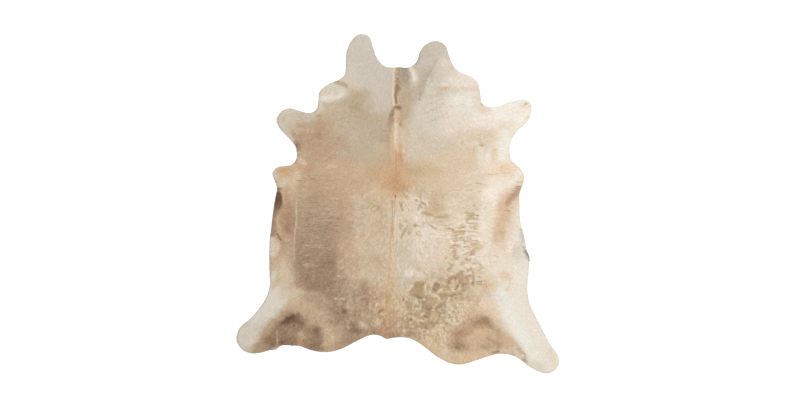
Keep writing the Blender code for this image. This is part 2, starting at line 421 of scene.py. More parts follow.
def span_of(mark):
    """The middle of the box that holds a mark, and half its size, soft rim and all."""
    if isinstance(mark, Patch):
        middle = np.array([mark.across, mark.along])
        half = np.full(2, max(mark.half_length, mark.half_width))
        return middle, half * (SPAN + mark.soft)
    side = PLATE_SIDE if isinstance(mark, Plate) else mark.half_width
    low, high = np.min(mark.places, axis=0), np.max(mark.places, axis=0)
    return (low + high) / 2, (high - low) / 2 + side * (SPAN + mark.soft)


def patterns_at(points):
    """The patterns that break marks up, each between 0 and 1."""
    curl = noise_pair("curl", points)
    warped = points + CURL * curl
    _, chip = cells("chips", points + JAG * noise_pair("jag", points))
    wobbly = points + WOBBLE_CURL * curl + WOBBLE * noise_pair("wobble", points)
    border, value = cells("plates", wobbly)
    small_border, small_value = cells("scraps", wobbly)
    fields = {
        "ticks": noise("ticks", warped) + TICK_CLUSTERS * noise("tick clusters", points),
        "streaks": noise("streaks", warped),
        "mottle": noise("mottle", warped),
        "flecks": noise("flecks", warped),
        "worms": np.abs(noise("worms", warped)),
        "beads": noise("beads", points),
        "plates": value,
        "veins": border,
        "vein stretches": noise("vein stretches", points),
        "scraps": small_value,
        "threads": small_border,
        "thread stretches": noise("thread stretches", points),
        "chips": chip,
        "slits": chip,
    }
    shown = {name: smooth_step(*SHOWS[name], field) for name, field in fields.items()}
    shown["beads"] = BEADS_LEAST + (1.0 - BEADS_LEAST) * shown["beads"]
    shown["frayed"] = FRAYED_LEAST + (1.0 - FRAYED_LEAST) * shown["ticks"]
    shown["veins"] *= shown["vein stretches"]
    shown["threads"] *= shown["thread stretches"]
    return shown


def ground_at(points, tones):
    """The ground's colour and how mottled it is."""
    colour = np.zeros((len(points), 3))
    mottled = np.zeros(len(points))
    total = np.zeros(len(points))
    for area in GROUND:
        weight = (GROUND_CORE + from_patch(points, area) ** 2) ** GROUND_FALL
        colour += weight[:, None] * tones[area.tone]
        mottled += weight * area.strength
        total += weight
    return colour / total[:, None], mottled / total


def fine_variation(points):
    """The coat's fine lights and darks, and its shift between pink and green, as sRGB bytes."""
    light = (HAIR_SHOWS * hair_noise("hair", points) + GRAIN_SHOWS * noise("grain", points)
             + BLOTS_SHOW * noise("blots", points) + CLOUDS_SHOW * noise("clouds", points))
    return light[:, None] + HUES_SHOW * noise("hues", points)[:, None] * HUE_TINT


def coat_tone(points):
    """sRGB colour of the coat at each point, between 0 and 1, with the painted shade and highlights
    of its creases and edges among its marks.
    """
    tones = {name: np.array(tone) / 255.0 for name, tone in TONES.items()}
    warp, fine = noise_pair("warp", points), noise_pair("fine", points)
    colour, mottled = ground_at(points + GROUND_WARP * warp + GROUND_FINE * fine, tones)
    moved = points + MARK_WARP * warp + MARK_FINE * fine
    frayed = moved + np.column_stack([FRAY * noise("rows", points), np.zeros(len(points))])
    grain = RIM_GRAIN * noise("rim grain", points) + RIM_HAIR * hair_noise("rim hair", points)
    patterns = patterns_at(points)
    for mark in MARKS:
        where = {"frayed": frayed, "straight": points}.get(mark.pattern, moved)
        middle, half = span_of(mark)
        near = np.flatnonzero((np.abs(where - middle) < half).all(axis=1))
        soft = softness(mark)
        reach = reach_of(mark, where[near]) + (GRAINY + GRAINY_IF_SOFT * soft) * grain[near]
        cover = mark.strength * smooth_step(1.0 + soft, 1.0 - soft, reach)
        if mark.pattern in patterns:
            cover = cover * patterns[mark.pattern][near]
        colour[near] += cover[:, None] * (tones[mark.tone] - colour[near])
    for shift in SHIFTS:
        cover = smooth_step(*SHIFT_FADE, from_patch(points, shift))
        colour += cover[:, None] * np.array(shift.change) / 255.0
    return np.clip(colour + mottled[:, None] * fine_variation(points) / 255.0, 0.0, 1.0)


def coat_colour(points):
    """Linear colour that the coat gives back at each point."""
    tone = coat_tone(points)
    linear = np.where(tone <= 0.04045, tone / 12.92, ((tone + 0.055) / 1.055) ** 2.4)
    return linear * EXPOSURE


def gap_to_rim(points, rim):
    """From each point to the nearest place of a finely divided rim, as (x, y)."""
    count = len(rim)
    slivers = [(i, (i + 1) % count, (i + 1) % count) for i in range(count)]
    tree = BVHTree.FromPolygons([(x, y, 0.0) for x, y in rim], slivers)
    nearest = np.array([tree.find_nearest((x, y, 0.0))[0][:2] for x, y in points])
    return nearest - points


def solid_rim(mesh):
    """The rim of the solid's underside, as (x, y) points in order."""
    places = np.array([vert.co[:] for vert in mesh.vertices])
    keys = {}
    number = [keys.setdefault(tuple(np.round(place, SAME_PLACE)), len(keys)) for place in places]
    spots = np.zeros((len(keys), 3))
    spots[number] = places
    edges = {}
    for face in mesh.polygons:
        if face.normal.z > DOWNWARD:
            continue
        corners = [number[i] for i in face.vertices]
        for start, end in zip(corners, corners[1:] + corners[:1]):
            if edges.pop((end, start), None) is None:
                edges[start, end] = True
    following = {start: end for start, end in edges}
    walk = [next(iter(following))]
    while following[walk[-1]] != walk[0]:
        walk.append(following[walk[-1]])
    return spots[walk][:, :2]


def fine_rim(rim):
    """The rim as a smooth closed curve in short even steps, with the small wavers of a knife."""
    count = len(rim)
    share = np.linspace(0.0, 1.0, RIM_SAMPLES, endpoint=False)[:, None]
    runs = []
    for i in range(count):
        before, start, end, after = (rim[(i + step) % count] for step in (-1, 0, 1, 2))
        leave, arrive = (end - before) / 2, (after - start) / 2
        runs.append(
            (2 * share**3 - 3 * share**2 + 1) * start + (share**3 - 2 * share**2 + share) * leave
            + (3 * share**2 - 2 * share**3) * end + (share**3 - share**2) * arrive)
    curve = np.concatenate(runs)
    closed = np.vstack([curve, curve[:1]])
    travelled = np.concatenate([[0.0], np.cumsum(np.linalg.norm(np.diff(closed, axis=0), axis=1))])
    places = np.linspace(0.0, travelled[-1], round(travelled[-1] / RIM_STEP), endpoint=False)
    even = np.column_stack([np.interp(places, travelled, closed[:, axis]) for axis in (0, 1)])
    ahead = np.roll(even, -1, axis=0) - np.roll(even, 1, axis=0)
    ahead /= np.linalg.norm(ahead, axis=1)[:, None]
    aside = np.column_stack([ahead[:, 1], -ahead[:, 0]])
    return even + aside * (EDGE_WAVER * noise("knife", even))[:, None]


def blurred(values):
    for axis in (0, 1):
        values = (np.roll(values, 1, axis) + 2.0 * values + np.roll(values, -1, axis)) / 4.0
    return values


def height_map(node):
    """Heights of the solid's underside on an even grid, smoothed over its facets and carried on a
    little past its rim."""
    tree = BVHTree.FromPolygons([v.co[:] for v in node.data.vertices],
                                [p.vertices[:] for p in node.data.polygons])
    ticks = np.arange(-MAP_REACH, MAP_REACH, MAP_STEP)
    heights = np.zeros((len(ticks), len(ticks)))
    known = np.zeros_like(heights)
    for i, x in enumerate(ticks):
        for j, y in enumerate(ticks):
            hit = tree.ray_cast((x, y, UNDER_THE_FLOOR), (0.0, 0.0, 1.0))[0]
            if hit is not None:
                heights[i, j] = hit.z
                known[i, j] = 1.0
    share = known.copy()
    total = heights * known
    for _ in range(MAP_SMOOTHINGS):
        share, total = blurred(share), blurred(total)
    smooth = total / np.maximum(share, TINY)
    reached = share > TINY
    for _ in range(MAP_CARRIED):
        share = blurred(reached.astype(float))
        carried = blurred(smooth * reached) / np.maximum(share, TINY)
        smooth = np.where(reached, smooth, carried)
        reached = share > TINY
    return np.maximum(smooth, 0.0)


def read_map(heights, points):
    """Heights at points between the grid's, blended from the four around each."""
    place = np.clip((points + MAP_REACH) / MAP_STEP, 0.0, len(heights) - MAP_MARGIN)
    corner = np.floor(place).astype(int)
    share = place - corner
    x0, y0 = corner[:, 0], corner[:, 1]
    low = heights[x0, y0] * (1 - share[:, 0]) + heights[x0 + 1, y0] * share[:, 0]
    high = heights[x0, y0 + 1] * (1 - share[:, 0]) + heights[x0 + 1, y0 + 1] * share[:, 0]
    return low * (1 - share[:, 1]) + high * share[:, 1]


def ridge_height(points):
    """Height of the narrow ridges on the skin's upper side."""
    height = np.zeros(len(points))
    moved = points + RIDGE_BENDS * noise_pair("ridge", points)
    for ridge in RIDGES:
        share = from_line(moved, ridge.places) / ridge.half_width
        height = np.maximum(height, ridge.height * np.maximum(0.0, 1.0 - share**2) ** 2)
    return height


def skin_top(heights, points):
    """Height of the skin's upper side."""
    waves = SKIN_WAVE * noise("skin waves", points)
    return read_map(heights, points) + SKIN_THICKNESS + ridge_height(points) + waves


def even_points(step, rim, clear):
    """Points of an even triangular grid inside the rim and clear of it."""
    low, high = rim.min(axis=0), rim.max(axis=0)
    rows = np.arange(low[1], high[1], step * math.sqrt(3) / 2)
    columns = np.arange(low[0], high[0], step)
    points = np.array([(x + step / 2 * (r % 2), y) for r, y in enumerate(rows) for x in columns])
    points = points[inside(points, rim)]
    return points[np.linalg.norm(gap_to_rim(points, rim), axis=1) > clear]


def spread_sheet(rim, step):
    """The rim's points and even points inside it, with the triangles between them, each with its
    corners anticlockwise as seen from above."""
    flat = np.concatenate([rim, even_points(step, rim, step * CLEAR_OF_RIM)])
    loop = [list(range(len(rim)))]
    places, _, faces, *_ = delaunay_2d_cdt([Vector(p) for p in flat], [], loop, CDT_INSIDE, CDT_CLOSE)
    points, faces = np.array([place[:] for place in places]), np.array(faces)
    a, b, c = (points[faces[:, i]] for i in range(3))
    area = (b - a)[:, 0] * (c - a)[:, 1] - (b - a)[:, 1] * (c - a)[:, 0]
    return points, np.where((area < 0.0)[:, None], faces[:, ::-1], faces)


def signed_area(rim):
    ends = np.roll(rim, -1, axis=0)
    return 0.5 * float(np.sum(rim[:, 0] * ends[:, 1] - rim[:, 1] * ends[:, 0]))


def make_mesh(name, places, faces):
    mesh = bpy.data.meshes.new(name)
    mesh.vertices.add(len(places))
    mesh.vertices.foreach_set("co", places.astype(np.float32).ravel())
    mesh.loops.add(faces.size)
    mesh.loops.foreach_set("vertex_index", faces.astype(np.int32).ravel())
    mesh.polygons.add(len(faces))
    mesh.polygons.foreach_set("loop_start", np.arange(0, faces.size, 3, dtype=np.int32))
    mesh.update(calc_edges=True)
    return mesh


def paint(mesh, colours):
    layer = mesh.color_attributes.new("Coat", "FLOAT_COLOR", "POINT")
    filled = np.column_stack([colours, np.ones(len(colours))])
    layer.data.foreach_set("color", filled.astype(np.float32).ravel())


def lay_out(mesh, name, corners):
    """A UV map from (u, v) at each vertex."""
    layer = mesh.uv_layers.new(name=name)
    loops = np.zeros(len(mesh.loops), np.int32)
    mesh.loops.foreach_get("vertex_index", loops)
    layer.uv.foreach_set("vector", corners[loops].astype(np.float32).ravel())


def to_unit_square(points):
    low, high = points.min(axis=0), points.max(axis=0)
    return (points - low) / (high - low)


def add_piece(mesh):
    piece = bpy.data.objects.new(mesh.name, mesh)
    bpy.context.scene.collection.objects.link(piece)
    return piece


def make_skin(rim, heights):
    """The tanned skin as one closed sheet: its upper side, its cut edge and its underside."""
    top, top_faces = spread_sheet(rim, TOP_STEP)
    under, under_faces = spread_sheet(rim, UNDER_STEP)
    top_place = np.column_stack([top, skin_top(heights, top)])
    under_place = np.column_stack([under, read_map(heights, under)])
    loop = np.arange(len(rim))
    after = np.roll(loop, -1)
    low, low_after = loop + len(top), after + len(top)
    wall = np.concatenate([np.column_stack([loop, low, low_after]),
                           np.column_stack([loop, low_after, after])])
    if signed_area(rim) < 0.0:
        wall = wall[:, ::-1]
    places = np.concatenate([top_place, under_place])
    faces = np.concatenate([top_faces, under_faces[:, ::-1] + len(top), wall])
    mesh = make_mesh("hide_skin", places, faces)
    paint(mesh, np.concatenate([coat_colour(top) * SKIN_SHADE, np.tile(SUEDE, (len(under), 1))]))
    square = to_unit_square(places[:, :2])
    upper = np.arange(len(places)) < len(top)
    across = square[:, 0] * np.where(upper, *ISLAND_WIDTHS) + np.where(upper, *ISLAND_STARTS)
    lay_out(mesh, "OFBake", np.column_stack([across, square[:, 1]]))
    mesh.materials.append(coat_material("coat_root", False))
    mesh.materials.append(suede_material())
    which = np.zeros(len(faces), np.int32)
    which[len(top_faces):] = 1
    mesh.polygons.foreach_set("material_index", which)
    mesh.shade_smooth()
    mesh.set_sharp_from_angle(angle=math.radians(SHARP_ANGLE))
    return add_piece(mesh)


def scattered_roots(rim, rng):
    """Places for the locks' roots, evenly spread over the hide and each a little out of line."""
    step = math.sqrt(abs(signed_area(rim)) / LOCKS * 2.0 / math.sqrt(3))
    roots = even_points(step, rim, ROOT_CLEARANCE)
    return roots + rng.uniform(-ROOT_SCATTER, ROOT_SCATTER, roots.shape) * step


def rim_shade(gap, way):
    """Painted shade: how much darker the coat is painted close to the cut edge, most of all where
    that faces left, away from the sun.
    """
    near = smooth_step(*RIM_FADE, gap)
    beside = smooth_step(*RIM_FADE_LEFT, gap) * smooth_step(*FACES_LEFT, way[:, 0])
    return (1.0 - RIM_DARKER * near - RIM_DARKER_LEFT * beside)[:, None]


def make_locks(name, roots, rim, heights, rng):
    """Short tapered locks, each a closed wedge: two corners at its root, a ridge and a tip."""
    count = len(roots)
    ahead = comb_direction(roots)
    swing = np.radians(rng.normal(0.0, SWING, count)) + TUFT_SWING * noise("tufts", roots)
    cos, sin = np.cos(swing), np.sin(swing)
    ahead = np.column_stack([ahead[:, 0] * cos - ahead[:, 1] * sin,
                             ahead[:, 0] * sin + ahead[:, 1] * cos])
    aside = np.column_stack([-ahead[:, 1], ahead[:, 0]])
    length = LOCK_LENGTH * rng.uniform(*LENGTHS, count)
    width = LOCK_WIDTH * rng.uniform(*WIDTHS, count)
    lift = rng.uniform(*LIFTS, count)
    bend = rng.normal(0.0, BEND, count)
    to_rim = gap_to_rim(roots, rim)
    gap = np.linalg.norm(to_rim, axis=1)
    way = to_rim / np.maximum(gap, TINY)[:, None]
    outward = (ahead * way).sum(axis=1)
    length = np.minimum(length, (gap + OVERHANG) / np.maximum(outward, LEAST_OUTWARD))
    left = roots + aside * (width / 2)[:, None]
    right = roots - aside * (width / 2)[:, None]
    ridge = roots + ahead * (length * RIDGE_AT)[:, None]
    tip = roots + ahead * length[:, None] + aside * (length * bend)[:, None]
    root_level = skin_top(heights, roots) - ROOT_DEPTH
    corners = [
        np.column_stack([left, root_level]),
        np.column_stack([right, root_level]),
        np.column_stack([ridge, skin_top(heights, ridge) + LOCK_RIDGE * lift]),
        np.column_stack([tip, skin_top(heights, tip) + LOCK_RISE * lift]),
    ]
    places = np.stack(corners, axis=1).reshape(-1, 3)
    wedge = np.array([(0, 1, 2), (0, 2, 3), (1, 3, 2), (0, 3, 1)])
    faces = (np.arange(count)[:, None, None] * 4 + wedge).reshape(-1, 3)
    mesh = make_mesh(name, places, faces)
    tone = np.clip(1.0 + LOCK_TONE * rng.normal(0.0, 1.0, count), *TONE_LIMITS)[:, None]
    at_root, at_ridge, at_tip = (
        coat_colour(spots) * tone * rim_shade(gap - outward * travelled, way)
        for spots, travelled in ((roots, 0.0), (ridge, length * RIDGE_AT), (tip, length)))
    paint(mesh, np.stack([at_root * ROOT_TONE, at_root * ROOT_TONE, at_ridge, at_tip * TIP_TONE],
                         axis=1).reshape(-1, 3))
    lay_out(mesh, "OFBake", to_unit_square(places[:, :2]))
    spot = rng.uniform(0.0, STRAND_SPREAD, count)
    start = np.zeros(count)
    strand = [(start, spot - width / 2), (start, spot + width / 2), (length * RIDGE_AT, spot),
              (length, spot)]
    strand = np.stack([np.column_stack(place) for place in strand], axis=1)
    lay_out(mesh, "Strands", strand.reshape(-1, 2))
    up = np.zeros((count, 4, 3))
    up[:, :, 2] = 1.0
    up[:, 0, :2] = aside * NORMAL_ASIDE
    up[:, 1, :2] = -aside * NORMAL_ASIDE
    up[:, 3, :2] = ahead * NORMAL_AHEAD
    up /= np.linalg.norm(up, axis=2)[:, :, None]
    mesh.shade_smooth()
    mesh.normals_split_custom_set_from_vertices(up.reshape(-1, 3).tolist())
    mesh.materials.append(coat_material(name, True))
    return add_piece(mesh)


def new_material(name):
    """A material, its node tree and its shader."""
    material = bpy.data.materials.new(name)
    material.use_nodes = True
    return material, material.node_tree, material.node_tree.nodes["Principled BSDF"]


def set_values(node, **values):
    """Sets a node's inputs. An underscore in a name stands for a blank."""
    for name, value in values.items():
        node.inputs[name.replace("_", " ")].default_value = value


def new_node(tree, kind, **values):
    node = tree.nodes.new(kind)
    set_values(node, **values)
    return node


def new_ramp(tree, low, low_at, high, high_at):
    """A ramp between two colours, with the place of each."""
    ramp = tree.nodes.new("ShaderNodeValToRGB")
    for stop, colour, place in zip(ramp.color_ramp.elements, (low, high), (low_at, high_at)):
        stop.position = place
        stop.color = colour
    return ramp


def coat_material(name, strands):
    """The coat's colour with fine strands along each lock, or with an even grain."""
    material, tree, shader = new_material(name)
    colour = tree.nodes.new("ShaderNodeAttribute")
    colour.attribute_name = "Coat"
    grain = new_node(tree, "ShaderNodeTexNoise", Scale=1.0 if strands else 420.0, Detail=2.0)
    if strands:
        uv = tree.nodes.new("ShaderNodeUVMap")
        uv.uv_map = "Strands"
        stretch = tree.nodes.new("ShaderNodeVectorMath")
        stretch.operation = "MULTIPLY"
        stretch.inputs[1].default_value = STRANDS_A_METRE
        tree.links.new(uv.outputs["UV"], stretch.inputs[0])
        tree.links.new(stretch.outputs["Vector"], grain.inputs["Vector"])
    else:
        place = tree.nodes.new("ShaderNodeTexCoord")
        tree.links.new(place.outputs["Object"], grain.inputs["Vector"])
    shade = new_node(tree, "ShaderNodeMapRange", From_Min=0.3, From_Max=0.7, To_Min=0.88, To_Max=1.10)
    mixed = tree.nodes.new("ShaderNodeVectorMath")
    mixed.operation = "SCALE"
    bump = new_node(tree, "ShaderNodeBump", Strength=0.25, Distance=0.0004)
    tree.links.new(grain.outputs["Fac"], shade.inputs["Value"])
    tree.links.new(colour.outputs["Color"], mixed.inputs[0])
    tree.links.new(shade.outputs["Result"], mixed.inputs["Scale"])
    tree.links.new(mixed.outputs["Vector"], shader.inputs["Base Color"])
    tree.links.new(grain.outputs["Fac"], bump.inputs["Height"])
    tree.links.new(bump.outputs["Normal"], shader.inputs["Normal"])
    set_values(shader, Roughness=0.62, Sheen_Weight=0.10, Sheen_Roughness=0.45, Specular_IOR_Level=0.28)
    return material


def suede_material():
    """The napped underside, a little cloudy."""
    material, tree, shader = new_material("suede")
    place = tree.nodes.new("ShaderNodeTexCoord")
    nap = new_node(tree, "ShaderNodeTexNoise", Scale=260.0, Detail=5.0)
    cloud = new_node(tree, "ShaderNodeTexNoise", Scale=9.0, Detail=4.0)
    ramp = new_ramp(tree, SUEDE_DARK, 0.30, SUEDE_LIGHT, 0.72)
    bump = new_node(tree, "ShaderNodeBump", Strength=0.5, Distance=0.0005)
    tree.links.new(place.outputs["Object"], nap.inputs["Vector"])
    tree.links.new(place.outputs["Object"], cloud.inputs["Vector"])
    tree.links.new(cloud.outputs["Fac"], ramp.inputs["Fac"])
    tree.links.new(ramp.outputs["Color"], shader.inputs["Base Color"])
    tree.links.new(nap.outputs["Fac"], bump.inputs["Height"])
    tree.links.new(bump.outputs["Normal"], shader.inputs["Normal"])
    set_values(shader, Roughness=0.92, Sheen_Weight=0.2)
    return material


def floor_material():
    """Plain white, very slightly uneven."""
    material, tree, shader = new_material("floor")
    place = tree.nodes.new("ShaderNodeTexCoord")
    cloud = new_node(tree, "ShaderNodeTexNoise", Scale=3.0)
    ramp = new_ramp(tree, (0.90, 0.90, 0.90, 1.0), 0.0, (0.92, 0.92, 0.92, 1.0), 1.0)
    tree.links.new(place.outputs["Object"], cloud.inputs["Vector"])
    tree.links.new(cloud.outputs["Fac"], ramp.inputs["Fac"])
    tree.links.new(ramp.outputs["Color"], shader.inputs["Base Color"])
    set_values(shader, Roughness=0.9, Specular_IOR_Level=0.1)
    return material


def make_floor():
    corners = np.array([(x * FLOOR_REACH, y * FLOOR_REACH, FLOOR_LEVEL)
                        for x, y in ((-1, -1), (1, -1), (1, 1), (-1, 1))])
    mesh = make_mesh("floor", corners, np.array([(0, 1, 2), (0, 2, 3)]))
    mesh.materials.append(floor_material())
    add_piece(mesh)


def light_room():
    """Soft light from all round, and a broad soft light from the upper right."""
    world = bpy.data.worlds.new("room")
    bpy.context.scene.world = world
    world.use_nodes = True
    tree = world.node_tree
    back = tree.nodes["Background"]
    place = tree.nodes.new("ShaderNodeTexCoord")
    split = tree.nodes.new("ShaderNodeSeparateXYZ")
    sky = new_node(tree, "ShaderNodeMapRange", From_Min=SKY_CHANGE[0], From_Max=SKY_CHANGE[1],
                   To_Min=SKY_BRIGHTNESS[0], To_Max=SKY_BRIGHTNESS[1])
    tree.links.new(place.outputs["Generated"], split.inputs["Vector"])
    tree.links.new(split.outputs["Z"], sky.inputs["Value"])
    tree.links.new(sky.outputs["Result"], back.inputs["Strength"])
    set_values(back, Color=(1.0, 1.0, 1.0, 1.0))
    lamp = bpy.data.lights.new("key", "SUN")
    lamp.energy = SUN
    lamp.angle = math.radians(SUN_WIDTH)
    key = bpy.data.objects.new("key", lamp)
    key.rotation_euler = Vector(TOWARDS_SUN).to_track_quat("Z", "Y").to_euler()
    bpy.context.scene.collection.objects.link(key)


def place_camera():
    data = bpy.data.cameras.new("camera")
    data.type = "PERSP"
    data.lens = LENS
    data.sensor_width = SENSOR
    data.clip_end = FAR_CLIP
    camera = bpy.data.objects.new("camera", data)
    camera.location = (*FRAME_MIDDLE, LENS / SENSOR * PHOTO_WIDTH * METRES_A_PIXEL)
    bpy.context.scene.collection.objects.link(camera)
    bpy.context.scene.camera = camera


# Tones of the coat, as sRGB bytes.
TONES = {
    "chalk": (237, 235, 225),
    "snow": (241, 234, 223),
    "pearl": (241, 228, 213),
    "ivory": (234, 225, 211),
    "milk": (231, 218, 200),
    "shell": (234, 214, 191),
    "oat": (216, 206, 189),
    "cream": (223, 206, 183),
    "linen": (212, 198, 176),
    "silver": (214, 207, 196),
    "greige": (207, 197, 183),
    "ash": (198, 185, 167),
    "putty": (206, 190, 169),
    "wheat": (217, 196, 168),
    "stone": (193, 176, 151),
    "sand": (204, 184, 155),
    "honey": (209, 184, 151),
    "camel": (198, 172, 141),
    "fawn": (190, 163, 134),
    "clay": (184, 156, 128),
    "taupe": (172, 147, 120),
    "drab": (166, 140, 114),
    "hazel": (161, 135, 109),
    "mocha": (153, 125, 99),
    "umber": (138, 110, 86),
    "cocoa": (118, 88, 64),
    "bark": (92, 62, 42),
    "khaki": (178, 155, 119),
    "peach": (216, 184, 152),
    "blush": (225, 203, 180),
    "orange": (205, 160, 117),
    "rust": (182, 142, 110),
    "shade": (160, 150, 136),
    "moss": (112, 108, 92),
    "apricot": (236, 207, 170),
    "olive": (163, 141, 111),
}

# What is painted on the coat: a soft patch, with its middle, half its length and half its width
# and how far its length is turned from +X; a streak, with the places that its middle passes and
# half its width; and a plate, a patch with straight sides. Each has its tone, how strongly it
# covers, how soft its rim is (0 sharp, 1 very soft) and the pattern that breaks it up.
Patch = namedtuple("Patch", "across along half_length half_width turn tone strength soft pattern")
Streak = namedtuple("Streak", "places half_width tone strength soft pattern")
Plate = namedtuple("Plate", "places tone strength soft pattern")


def patch(tone, across, along, half_length, half_width, cover, turn=0, soft=9, pattern=""):
    """A patch from its row: sizes in millimetres, cover in hundredths and softness in tenths."""
    sizes = [size / 1000 for size in (across, along, half_length, half_width)]
    return Patch(*sizes, turn, tone, cover / 100, soft / 10, pattern)


def line(tone, places, half_width, cover, soft=9, pattern=""):
    """A streak from its row, in the same units, or a plate where half_width is None."""
    places = [(across / 1000, along / 1000) for across, along in places]
    if half_width is None:
        return Plate(places, tone, cover / 100, soft / 10, pattern)
    return Streak(places, half_width / 1000, tone, cover / 100, soft / 10, pattern)


# The ground of the coat: each area's tone fades into its neighbours' tones. Each has its tone;
# the place of its middle across and along, half its length and half its width, in millimetres;
# how mottled it is, in hundredths; and how far its length is turned from +X in degrees, if it is.
GROUND = [patch(*row) for row in [
    # Neck and left shoulder
    ("greige", -240, 1020, 170, 110, 50, 90), ("greige", -150, 810, 110, 80, 50, 80),
    ("oat", -440, 730, 90, 50, 70, 10), ("stone", -340, 640, 160, 50, 80, 10),
    ("greige", -150, 680, 70, 70, 60, 90), ("putty", -740, 570, 70, 60, 70),
    ("ash", -620, 570, 70, 30, 80), ("fawn", -540, 440, 130, 90, 95),
    ("stone", -270, 500, 160, 100, 80), ("stone", -110, 420, 140, 50, 60, 90),
    ("fawn", -420, 350, 120, 60, 90), ("stone", -240, 360, 100, 60, 60),
    # Left flank
    ("fawn", -600, 280, 100, 50, 95), ("camel", -380, 210, 180, 70, 75),
    ("honey", -720, 150, 70, 50, 80), ("fawn", -610, 50, 120, 90, 110, 90),
    ("fawn", -450, 50, 120, 90, 110, 90), ("camel", -260, 90, 120, 80, 80),
    ("honey", -140, 80, 100, 60, 80, 90), ("drab", -590, -200, 200, 90, 125, 90),
    ("drab", -460, -180, 160, 80, 125, 90), ("fawn", -340, -200, 200, 50, 125, 90),
    ("sand", -200, -160, 220, 90, 130, 90), ("sand", -100, -360, 180, 60, 120, 90),
    ("clay", -750, -280, 120, 50, 95, 90), ("sand", -770, -460, 120, 50, 85, 90),
    ("hazel", -520, -470, 140, 100, 130), ("camel", -320, -400, 100, 70, 125, 90),
    ("sand", -200, -440, 100, 60, 120, 90),
    # Left haunch and hind leg
    ("fawn", -600, -660, 120, 70, 95), ("sand", -680, -600, 50, 30, 80),
    ("taupe", -420, -640, 80, 80, 140), ("taupe", -300, -640, 100, 80, 150),
    ("clay", -170, -680, 100, 60, 150, 90), ("honey", -70, -600, 120, 50, 120, 90),
    ("silver", -840, -670, 180, 80, 40, 52), ("greige", -1000, -880, 100, 90, 40, 45),
    ("linen", -770, -600, 80, 40, 70, 55), ("umber", -760, -890, 120, 60, 110),
    ("hazel", -580, -850, 80, 70, 120), ("camel", -450, -860, 100, 80, 120),
    ("taupe", -280, -820, 120, 60, 150, 20), ("drab", -350, -920, 80, 40, 100, 20),
    ("clay", -80, -820, 100, 60, 150, 90),
    # Neck and right shoulder
    ("greige", 210, 990, 100, 100, 50), ("milk", 350, 940, 60, 50, 50),
    ("ash", 170, 840, 100, 60, 55, 70), ("stone", 60, 700, 160, 50, 80, 90),
    ("ivory", 430, 820, 120, 50, 50, -20), ("oat", 280, 760, 100, 50, 60),
    ("ivory", 460, 660, 120, 70, 60), ("oat", 200, 570, 120, 110, 70),
    ("putty", 80, 460, 160, 50, 80, 90), ("milk", 380, 550, 140, 80, 65),
    ("snow", 720, 600, 160, 60, 50, 15), ("cream", 540, 440, 140, 50, 80),
    ("snow", 700, 370, 90, 50, 50, 90), ("linen", 220, 380, 140, 60, 80),
    # Right flank
    ("wheat", 380, 290, 180, 60, 65), ("honey", 150, 220, 120, 50, 60),
    ("wheat", 300, 140, 180, 50, 65), ("cream", 500, 140, 100, 60, 80),
    ("shell", 720, 200, 100, 50, 50), ("milk", 590, 280, 80, 50, 70), ("pearl", 640, 80, 80, 60, 50),
    ("cream", 440, -10, 120, 70, 100), ("milk", 580, -120, 140, 50, 80, 90),
    ("ivory", 780, -100, 140, 40, 50, 90), ("honey", 240, -20, 70, 70, 90),
    ("cream", 100, -60, 120, 70, 120, 90), ("cream", 220, -300, 160, 130, 120),
    ("milk", 200, -240, 100, 80, 120), ("linen", 60, -420, 180, 50, 115, 90),
    ("milk", 490, -260, 180, 80, 110, 90), ("milk", 680, -400, 140, 70, 60, 90),
    ("ivory", 830, -480, 200, 50, 45, 90),
    # Right haunch and hind leg
    ("wheat", 610, -560, 80, 60, 80, 70), ("ivory", 840, -800, 280, 80, 35, -57),
    ("ivory", 980, -1020, 100, 80, 40, -57), ("sand", 280, -580, 180, 80, 130),
    ("camel", 140, -700, 120, 100, 140), ("wheat", 380, -720, 100, 70, 150),
    ("shell", 600, -690, 90, 60, 60, -40), ("honey", 220, -900, 140, 60, 130),
    ("honey", 380, -1010, 100, 50, 110), ("clay", 70, -820, 80, 60, 140),
    ("honey", 540, -880, 120, 60, 90), ("milk", 720, -770, 100, 50, 50, -57),
    ("camel", 720, -920, 70, 40, 100, -40),
]]

